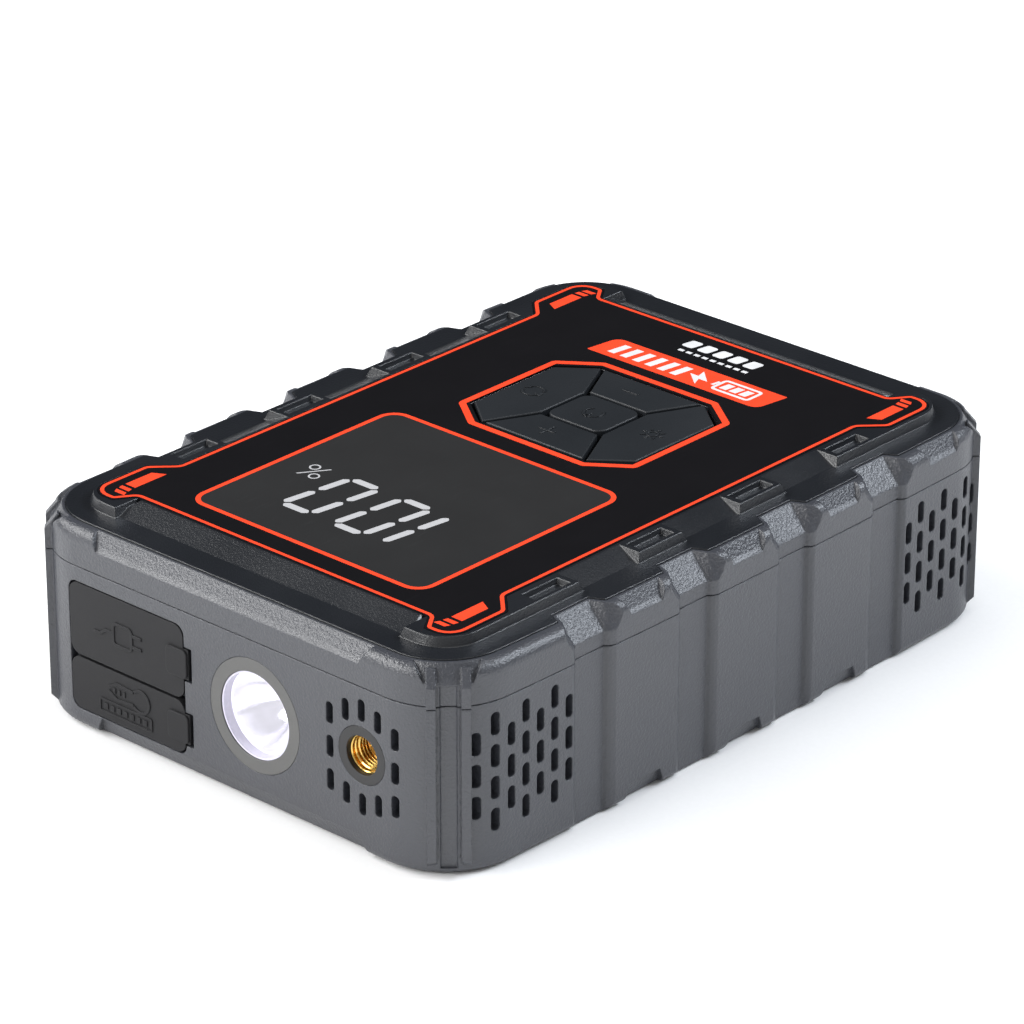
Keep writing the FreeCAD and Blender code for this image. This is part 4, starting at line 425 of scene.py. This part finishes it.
def ribbon(work, points, width, low, high, closed=True, frame_of=None):
    """A band of ink or a raised line along a path."""
    frame_of = frame_of or Matrix.Identity(4)
    left = mitred(points, width / 2, closed)
    right = mitred(points, -width / 2, closed)

    def ring(side, level):
        return [work.verts.new(frame_of @ Vector((p[0] * MM, p[1] * MM, level * MM))) for p in side]

    rows = [ring(left, low), ring(left, high), ring(right, high), ring(right, low)]
    count = len(points)
    for index in range(count if closed else count - 1):
        after = (index + 1) % count
        for a, b in ((0, 1), (1, 2), (2, 3), (3, 0)):
            work.faces.new((rows[a][index], rows[a][after], rows[b][after], rows[b][index]))
    if not closed:
        work.faces.new([row[0] for row in rows])
        work.faces.new([row[-1] for row in rows][::-1])


def rounded(points, radii, steps=6):
    """A closed outline with its corners rounded: one radius for all, or one for each."""
    if not isinstance(radii, (list, tuple)):
        radii = [radii] * len(points)
    result = []
    for index, point in enumerate(points):
        here = Vector(point)
        before = (Vector(points[index - 1]) - here).normalized()
        after = (Vector(points[(index + 1) % len(points)]) - here).normalized()
        radius = radii[index]
        angle = before.angle(after)
        if radius <= 0 or angle > math.pi - 0.01:
            result.append((here.x, here.y))
            continue
        reach = radius / math.tan(angle / 2)
        start = here + before * reach
        end = here + after * reach
        centre = here + (before + after).normalized() * (radius / math.sin(angle / 2))
        first = (start - centre).to_2d()
        last = (end - centre).to_2d()
        turn = math.atan2(first.x * last.y - first.y * last.x, first.dot(last))
        for step in range(steps + 1):
            part = turn * step / steps
            spin = Matrix.Rotation(part, 2)
            spot = centre.to_2d() + spin @ first
            result.append((spot.x, spot.y))
    return result


def rectangle(left, right, low, high):
    """A rectangle's corners, counter-clockwise."""
    return [(left, low), (right, low), (right, high), (left, high)]


def circle(u, v, radius, count, start=0.0, sweep=2 * math.pi):
    """Points on a full circle, or on an arc from start (radians) through sweep."""
    closed = abs(sweep) > 2 * math.pi - 0.001
    steps = count if closed else count - 1
    turns = [start + sweep * index / steps for index in range(count)]
    return [(u + radius * math.cos(turn), v + radius * math.sin(turn)) for turn in turns]


def arc(u, v, radius, count, start, sweep):
    """A circle's arc with its angles in degrees."""
    return circle(u, v, radius, count, math.radians(start), math.radians(sweep))


def scaled_points(points, across, along):
    """Points mirrored by -1 along either axis, in an order that keeps them counter-clockwise."""
    flipped = [(u * across, v * along) for u, v in points]
    return flipped[::-1] if across * along < 0 else flipped


# ---------------------------------------------------------------------------
# Heights and edges taken from the frame, in millimetres.

WINDOW_LOW, WINDOW_HIGH = (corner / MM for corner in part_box("display_window"))
WINDOW_TOP = WINDOW_HIGH.z
LABEL_TOP = (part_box("label_plate")[1] / MM).z
FRONT = (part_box("lower_shell")[0] / MM).y
INK_THICKNESS = 0.03
INK_SINK = 0.02
INK_LOW = LABEL_TOP - INK_SINK
INK_HIGH = LABEL_TOP + INK_THICKNESS
KEYS = ("power", "plus", "minus", "mode", "light")
COVERS = ("usb_cover", "engine_cover")

# Plan points on the front face: across, up, and out of the face.
FRONT_FRAME = Matrix(((1, 0, 0, 0), (0, 0, -1, FRONT * MM), (0, 1, 0, 0), (0, 0, 0, 1)))


def on_label(name, draw, material=None):
    """A printed mark that rides on the case and lies on the label."""
    piece(name, draw, "case", material or INK)


def label_line():
    """The orange line that runs inside the label's edge and round its four lobes."""
    width = 0.85
    quarter = [(47.1, 57.6), (52.3, 62.8), (52.3, 78.5), (46.3, 78.5), (43.2, 74.1)]
    radii = [2.6, 2.0, 4.1, 1.1, 2.4]
    outline, bends = [], []
    for across, along in ((1, 1), (-1, 1), (-1, -1), (1, -1)):
        run = [(u * across, v * along) for u, v in quarter]
        run_radii = list(radii)
        if across * along < 0:
            run, run_radii = run[::-1], run_radii[::-1]
        outline += run
        bends += run_radii
    path = rounded(outline, bends)
    on_label("label_line", lambda work: ribbon(work, path, width, INK_LOW, INK_HIGH))


def lobe_bars():
    """One long bar and two short slanted ones in each lobe."""
    bars = [
        [(46.4, 62.6), (49.4, 64.2), (49.4, 72.0), (46.4, 72.0)],
        [(46.4, 73.0), (49.4, 73.0), (49.1, 74.2), (46.1, 74.2)],
        [(46.0, 75.0), (49.0, 75.0), (48.4, 76.2), (45.4, 76.2)],
    ]

    def draw(work):
        for across in (-1, 1):
            for along in (-1, 1):
                for bar in bars:
                    slab(work, scaled_points(bar, across, along), INK_LOW, INK_HIGH)

    on_label("lobe_bars", draw)


def window_line():
    """The orange frame round the display window."""
    gap, corner, width = 0.3, 4.2, 1.15
    frame_box = rectangle(WINDOW_LOW.x - gap, WINDOW_HIGH.x + gap, WINDOW_LOW.y - gap, WINDOW_HIGH.y + gap)
    path = rounded(frame_box, corner, 10)
    on_label("window_line", lambda work: ribbon(work, path, width, INK_LOW, INK_HIGH))


def keypad_outline(grow_across, grow_along):
    """An eight-sided outline round all five keys, grown sideways and lengthways."""
    low = Vector((1e9, 1e9))
    high = Vector((-1e9, -1e9))
    for key in KEYS:
        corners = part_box(f"key_{key}")
        for axis in (0, 1):
            low[axis] = min(low[axis], corners[0][axis] / MM)
            high[axis] = max(high[axis], corners[1][axis] / MM)
    left, right = low.x - grow_across, high.x + grow_across
    front, rear = low.y - grow_along, high.y + grow_along
    across, along = 9.0, 6.6
    return [
        (left + across, front), (right - across, front), (right, front + along), (right, rear - along),
        (right - across, rear), (left + across, rear), (left, rear - along), (left, front + along),
    ]


def keypad_line():
    """The orange frame round the keys, a little prouder than the rest of the ink."""
    grow_across, grow_along, corner, width = 1.65, 2.3, 1.0, 1.6
    path = rounded(keypad_outline(grow_across, grow_along), corner, 3)
    on_label("keypad_line", lambda work: ribbon(work, path, width, INK_LOW, LABEL_TOP + INK_THICKNESS * 2))


def banner():
    """A plain slanted block with generic white marks: slanted ticks, a bolt and a battery."""
    low, high = 50.2, 59.6
    block = rounded([(-25.3, low), (24.9, low), (26.3, high), (-24.0, high)], [0.3, 2.6, 0.3, 2.6], 5)
    on_label("banner", lambda work: slab(work, block, INK_LOW, INK_HIGH))
    middle = (low + high) / 2
    lean, reach = 0.15, 2.7
    mark_low, mark_high = INK_HIGH - INK_SINK, INK_HIGH + INK_THICKNESS / 2

    def marks(work):
        def plate(points):
            slab(work, [(u + (v - middle) * lean, v) for u, v in points], mark_low, mark_high)

        for index in range(6):
            left = -20.5 + index * 3.7
            plate(rectangle(left, left + 2.0, middle - reach, middle + reach))
        plate([
            (2.6, middle + 3.2), (3.6, middle + 0.5), (1.2, middle + 0.5),
            (6.4, middle - 3.4), (4.9, middle - 0.7), (7.4, middle - 0.7),
        ])
        cell = rounded(rectangle(10.2, 20.6, middle - reach, middle + reach), 0.8, 3)
        ribbon(work, cell, 0.8, mark_low, mark_high)
        plate(rectangle(8.9, 9.7, middle - 1.2, middle + 1.2))
        for index in range(3):
            plate(rectangle(11.6 + index * 2.8, 13.6 + index * 2.8, middle - 1.5, middle + 1.5))

    on_label("banner_marks", marks, WHITE_INK)


def rating_marks():
    """Small generic marks between the banner and the rear edge, where a label carries its rating."""
    front, rear, corner = 66.3, 70.2, 0.7
    dash_front, dash_rear = 63.6, 64.6

    def draw(work):
        for index in range(5):
            left = -11.0 + index * 4.5
            block = [(left, front), (left + 3.3, front), (left + 4.0, rear), (left + 0.7, rear)]
            slab(work, rounded(block, corner, 3), INK_LOW, INK_HIGH)
        for index in range(9):
            left = -9.6 + index * 2.35
            slab(work, rectangle(left, left + 1.5, dash_front, dash_rear), INK_LOW, INK_HIGH)

    on_label("rating_marks", draw, WHITE_INK)


# The bars that the reading's digits need, each between two corners of a grid one wide and two high.
SEGMENTS = {
    "top": ((0, 2), (1, 2)), "bottom": ((0, 0), (1, 0)),
    "upper_left": ((0, 1), (0, 2)), "upper_right": ((1, 1), (1, 2)),
    "lower_left": ((0, 0), (0, 1)), "lower_right": ((1, 0), (1, 1)),
}
DIGIT_SEGMENTS = {
    "1": ("upper_left", "lower_left"),
    "0": ("top", "bottom", "upper_left", "upper_right", "lower_left", "lower_right"),
}


def segment(start, end, thick, gap):
    """A six-sided bar between two corners of a digit."""
    start, end = Vector(start), Vector(end)
    run = (end - start).normalized()
    side = Vector((-run.y, run.x)) * thick / 2
    start, end = start + run * gap, end - run * gap
    tip = thick / 2
    return [
        start, start + run * tip - side, end - run * tip - side,
        end, end - run * tip + side, start + run * tip + side,
    ]


def digits():
    """A full-charge reading, the right way up for someone behind the pack."""
    width, height, lean, thick = 10.3, 20.6, 0.136, 1.95
    gap, corner = 0.42, 0.45
    base = -36.4

    def leaning(points):
        return [(point[0] + (point[1] - base) * lean, point[1]) for point in points]

    def draw(work):
        low, high = WINDOW_TOP - INK_SINK, WINDOW_TOP + INK_THICKNESS / 2
        for digit, right in zip("100", (15.0, 9.4, -5.9)):
            reach = 0.0 if digit == "1" else width - thick
            for name in DIGIT_SEGMENTS[digit]:
                ends = [
                    (right - thick / 2 - across * reach, base - thick / 2 - up * (height - thick) / 2)
                    for across, up in SEGMENTS[name]
                ]
                slab(work, rounded(leaning(segment(*ends, thick, gap)), corner, 3), low, high)
        slab(work, [(-21.6, -36.9), (-22.1, -36.9), (-26.4, -43.2), (-25.9, -43.2)], low, high)
        for u, v in ((-22.3, -41.8), (-25.4, -38.3)):
            ribbon(work, circle(u, v, 1.15, 18), 0.4, low, high)

    piece("display_digits", draw, "case", DIGIT_LIGHT)


def key_icons():
    """Raised symbols on the keys, each riding on its own key."""
    relief, sink = 0.2, 0.05
    arm, half_line, radius = 2.2, 0.3, 2.5
    shifts = {"mode": -1.5, "light": 0.8, "plus": -1.3, "minus": -1.3}

    def power(work, u, v, low, high):
        ribbon(work, arc(u, v, 2.3, 26, 130, 280), 0.55, low, high, closed=False)
        slab(work, rectangle(u - 0.28, u + 0.28, v - 3.0, v - 0.6), low, high)

    def plus(work, u, v, low, high):
        minus(work, u, v, low, high)
        slab(work, rectangle(u - half_line, u + half_line, v + half_line, v + arm), low, high)
        slab(work, rectangle(u - half_line, u + half_line, v - arm, v - half_line), low, high)

    def minus(work, u, v, low, high):
        slab(work, rectangle(u - arm, u + arm, v - half_line, v + half_line), low, high)

    def mode(work, u, v, low, high):
        for start in (20, 200):
            ribbon(work, arc(u, v, radius, 16, start, 130), 0.5, low, high, closed=False)
            tip = math.radians(start + 138)
            spot = Vector((u + radius * math.cos(tip), v + radius * math.sin(tip)))
            along = Vector((-math.sin(tip), math.cos(tip)))
            out = Vector((math.cos(tip), math.sin(tip)))
            head = [spot - out * 0.9 - along * 0.4, spot + out * 0.9 - along * 0.4, spot + along * 1.1]
            slab(work, head, low, high)

    def light(work, u, v, low, high):
        ribbon(work, circle(u, v, 1.25, 20), 0.45, low, high)
        for index in range(8):
            turn = math.radians(45 * index)
            out = Vector((math.cos(turn), math.sin(turn)))
            side = Vector((-out.y, out.x)) * 0.2
            start, end = Vector((u, v)) + out * 1.9, Vector((u, v)) + out * 2.7
            slab(work, [start - side, end - side, end + side, start + side], low, high)

    for key, symbol in zip(KEYS, (power, plus, minus, mode, light)):
        low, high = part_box(f"key_{key}")
        u, v = (low.x + high.x) / 2 / MM + shifts.get(key, 0.0), (low.y + high.y) / 2 / MM
        top = high.z / MM
        piece(
            f"key_symbol_{key}",
            lambda work: symbol(work, u, v, top - sink, top + relief),
            f"key_{key}",
            MATERIALS["key_rubber"],
        )


def cover_marks():
    """Raised generic symbols: a charging plug on the upper cover, a jump-lead clamp on the lower one."""
    sink, relief = -0.1, 0.22
    cord_line, clamp_line, frame_line = 0.7, 0.65, 0.45
    middle = -30.5
    upper_v, lower_v = (sum(corner.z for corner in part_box(name)) / 2 / MM for name in COVERS)

    def line(work, path, width, closed=True):
        ribbon(work, path, width, sink, relief, closed, FRONT_FRAME)

    def plate(work, *sides):
        slab(work, rectangle(*sides), sink, relief, FRONT_FRAME)

    def plug(work):
        v = upper_v
        line(work, rounded(rectangle(middle - 3.4, middle + 2.2, v - 2.5, v + 2.5), 1.0, 4), cord_line)
        for offset in (-1.3, 1.3):
            plate(work, middle + 2.6, middle + 5.2, v + offset - 0.35, v + offset + 0.35)
        cord = [(middle - 3.8, v), (middle - 6.0, v), (middle - 7.4, v - 1.2), (middle - 9.4, v - 1.2)]
        line(work, cord, cord_line, closed=False)

    def clamp(work):
        v = lower_v + 1.6
        line(work, arc(middle + 4.4, v, 2.6, 20, -140, 280), clamp_line, closed=False)
        for side in (-1, 1):
            jaw = [(middle + u, v + rise * side) for u, rise in ((2.2, 1.5), (-2.8, 1.9), (-5.4, 0.45))]
            line(work, jaw, clamp_line, closed=False)
        for index in range(3):
            plate(work, middle - 3.9 + index * 1.5, middle - 3.3 + index * 1.5, v - 0.6, v + 0.6)
        frame_box = rectangle(middle - 8.2, middle + 7.6, lower_v - 4.4, lower_v - 1.5)
        line(work, rounded(frame_box, 0.4, 2), frame_line)
        for index in range(7):
            left = middle - 6.9 + index * 2.0
            plate(work, left, left + 1.1, lower_v - 3.6, lower_v - 2.3)

    piece("usb_cover_mark", plug, "usb_cover", MATERIALS["cover_rubber"])
    piece("engine_cover_mark", clamp, "engine_cover", MATERIALS["cover_rubber"])


def cover_tabs():
    """The raised pull tab on each cover, with rounded corners and a bevelled face."""
    length, margin, half_height, corner_radius = 6.4, 0.15, 3.35, 1.1
    sink, relief, bevel = -0.3, 0.55, 0.25
    for name in COVERS:
        low, high = (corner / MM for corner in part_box(name))
        middle = (low.z + high.z) / 2
        sides = rectangle(high.x - length, high.x - margin, middle - half_height, middle + half_height)
        outline = rounded(sides, corner_radius, 4)
        piece(
            f"{name}_tab_pad",
            lambda work: slab(work, outline, sink, relief, FRONT_FRAME, bevel),
            name,
            MATERIALS["cover_rubber"],
        )


def outlet_thread():
    """A helical ridge inside the brass outlet."""
    low, high = (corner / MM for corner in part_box("air_outlet_fitting"))
    centre = Vector(((low.x + high.x) / 2, 0, (low.z + high.z) / 2))
    bore, crest, pitch, turns, steps = 3.95, 3.42, 0.85, 6, 32
    lead_in, root, flat, least_fade = 0.7, 0.36, 0.05, 0.05

    def draw(work):
        rings = []
        for index in range(turns * steps + 1):
            angle = 2 * math.pi * index / steps
            depth = low.y + lead_in + pitch * index / steps
            fade = min(1.0, index / steps, (turns * steps - index) / steps + least_fade)
            inner = bore - (bore - crest) * max(fade, least_fade)
            ring = []
            for radius, shift in ((bore, -root), (inner, -flat), (inner, flat), (bore, root)):
                across, up = radius * math.cos(angle), radius * math.sin(angle)
                spot = Vector((centre.x + across, depth + shift * pitch, centre.z + up))
                ring.append(work.verts.new(spot * MM))
            rings.append(ring)
        for before, after in zip(rings, rings[1:]):
            for a in range(4):
                b = (a + 1) % 4
                work.faces.new((before[a], before[b], after[b], after[a]))
        work.faces.new(rings[0])
        work.faces.new(rings[-1][::-1])

    piece("outlet_thread", draw, "case", MATERIALS["brass_metal"])


def torch_wall():
    """The clear lens's upright wall: a sleeve just inside the bezel's bore that glows bright as painted
    light.
    """
    low, high = (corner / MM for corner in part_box("torch_lens"))
    centre = ((low.x + high.x) / 2, (low.z + high.z) / 2)
    radius, thick = 9.9, 0.35
    front = FRONT + 0.25

    def draw(work):
        path = circle(*centre, radius - thick / 2, 72)
        ribbon(work, path, thick, FRONT - low.y, FRONT - front, frame_of=FRONT_FRAME)

    piece("torch_lens_wall", draw, "case", LENS_WALL)


# ---------------------------------------------------------------------------
# Studio: world, lights, camera and floor.


def studio_world():
    """White walls for diffuse light; in reflections only the front right of the studio is bright."""
    bright_side = Vector((0.35, -0.8, 0.3)).normalized()
    reflected, diffuse = (-0.2, 1.0, 0.025, 0.42), 0.5
    world = bpy.data.worlds.new("studio")
    world.use_nodes = True
    tree = world.node_tree
    background = tree.nodes["Background"]
    place = tree.nodes.new("ShaderNodeTexCoord").outputs["Generated"]
    facing = tree.nodes.new("ShaderNodeVectorMath")
    facing.operation = "DOT_PRODUCT"
    tree.links.new(place, facing.inputs[0])
    facing.inputs[1].default_value = bright_side
    glow = tree.nodes.new("ShaderNodeMapRange")
    tree.links.new(facing.outputs["Value"], glow.inputs[0])
    for index, value in enumerate(reflected, start=1):
        glow.inputs[index].default_value = value
    path = tree.nodes.new("ShaderNodeLightPath")
    strength = tree.nodes.new("ShaderNodeMix")
    tree.links.new(path.outputs["Is Glossy Ray"], strength.inputs[0])
    strength.inputs[2].default_value = diffuse
    tree.links.new(glow.outputs[0], strength.inputs[3])
    tree.links.new(strength.outputs[0], background.inputs["Strength"])
    background.inputs["Color"].default_value = (*WHITE, 1.0)
    return world


def lights_and_camera():
    """Four softboxes, and a long lens at the photograph's angle."""
    scene = bpy.context.scene
    scene.view_settings.view_transform = "Standard"
    scene.world = studio_world()

    def softbox(name, spot, target, size, power, colour=WHITE):
        data = bpy.data.lights.new(name, "AREA")
        data.shape = "RECTANGLE"
        data.size, data.size_y = size
        data.energy = power
        data.color = colour
        lamp = bpy.data.objects.new(name, data)
        scene.collection.objects.link(lamp)
        lamp.location = spot
        lamp.rotation_euler = (Vector(target) - Vector(spot)).to_track_quat("-Z", "Y").to_euler()

    softbox("front_box", (-0.4, -1.3, 0.75), (0, 0, 0.02), (0.9, 0.5), 14.0)
    softbox("left_box", (-1.2, -0.6, 1.05), (0, 0, 0.03), (1.1, 0.6), 20.0)
    softbox("right_box", (0.85, 1.05, 1.15), (0, 0, 0.03), (0.9, 0.4), 22.0, SKY_BLUE)
    softbox("top_box", (0.1, 0.2, 1.4), (0, 0, 0.03), (0.7, 0.7), 4.0)

    camera_data = bpy.data.cameras.new("camera")
    camera_data.lens = 175.15
    camera_data.sensor_width = 36.0
    camera_data.clip_start, camera_data.clip_end = 0.05, 20.0
    camera = bpy.data.objects.new("camera", camera_data)
    scene.collection.objects.link(camera)
    camera.location = (0.668, -0.7344, 0.4974)
    aim = Vector((-0.0147, 0.0132, 0.025))
    camera.rotation_euler = (aim - camera.location).to_track_quat("-Z", "Y").to_euler()
    scene.camera = camera


def floor():
    """A plain sheet of pale paper."""
    reach = 6.0
    fibre_size, fibre_depth = 1.2 * MM, 0.01 * MM
    graph = Graph("floor_paper")
    fibres = graph.noise(fibre_size, 3.0)
    graph.bump((fibres, fibre_depth))
    tint = graph.mix(graph.span(fibres, *MIDDLE_NOISE, 0.0, 1.0), tone(WHITE, 0.92), tone(WHITE, 0.94))
    paper = graph.set(base_color=tint, roughness=0.9)
    mesh = bpy.data.meshes.new("floor")
    work = bmesh.new()
    corners = [work.verts.new((x * reach, y * reach, 0.0)) for x, y in ((-1, -1), (1, -1), (1, 1), (-1, 1))]
    work.faces.new(corners)
    work.to_mesh(mesh)
    work.free()
    mesh.materials.append(paper)
    sheet = bpy.data.objects.new("floor", mesh)
    bpy.context.scene.collection.objects.link(sheet)


finish_nodes()
label_line()
lobe_bars()
window_line()
keypad_line()
banner()
rating_marks()
digits()
key_icons()
cover_marks()
cover_tabs()
outlet_thread()
torch_wall()
floor()
lights_and_camera()
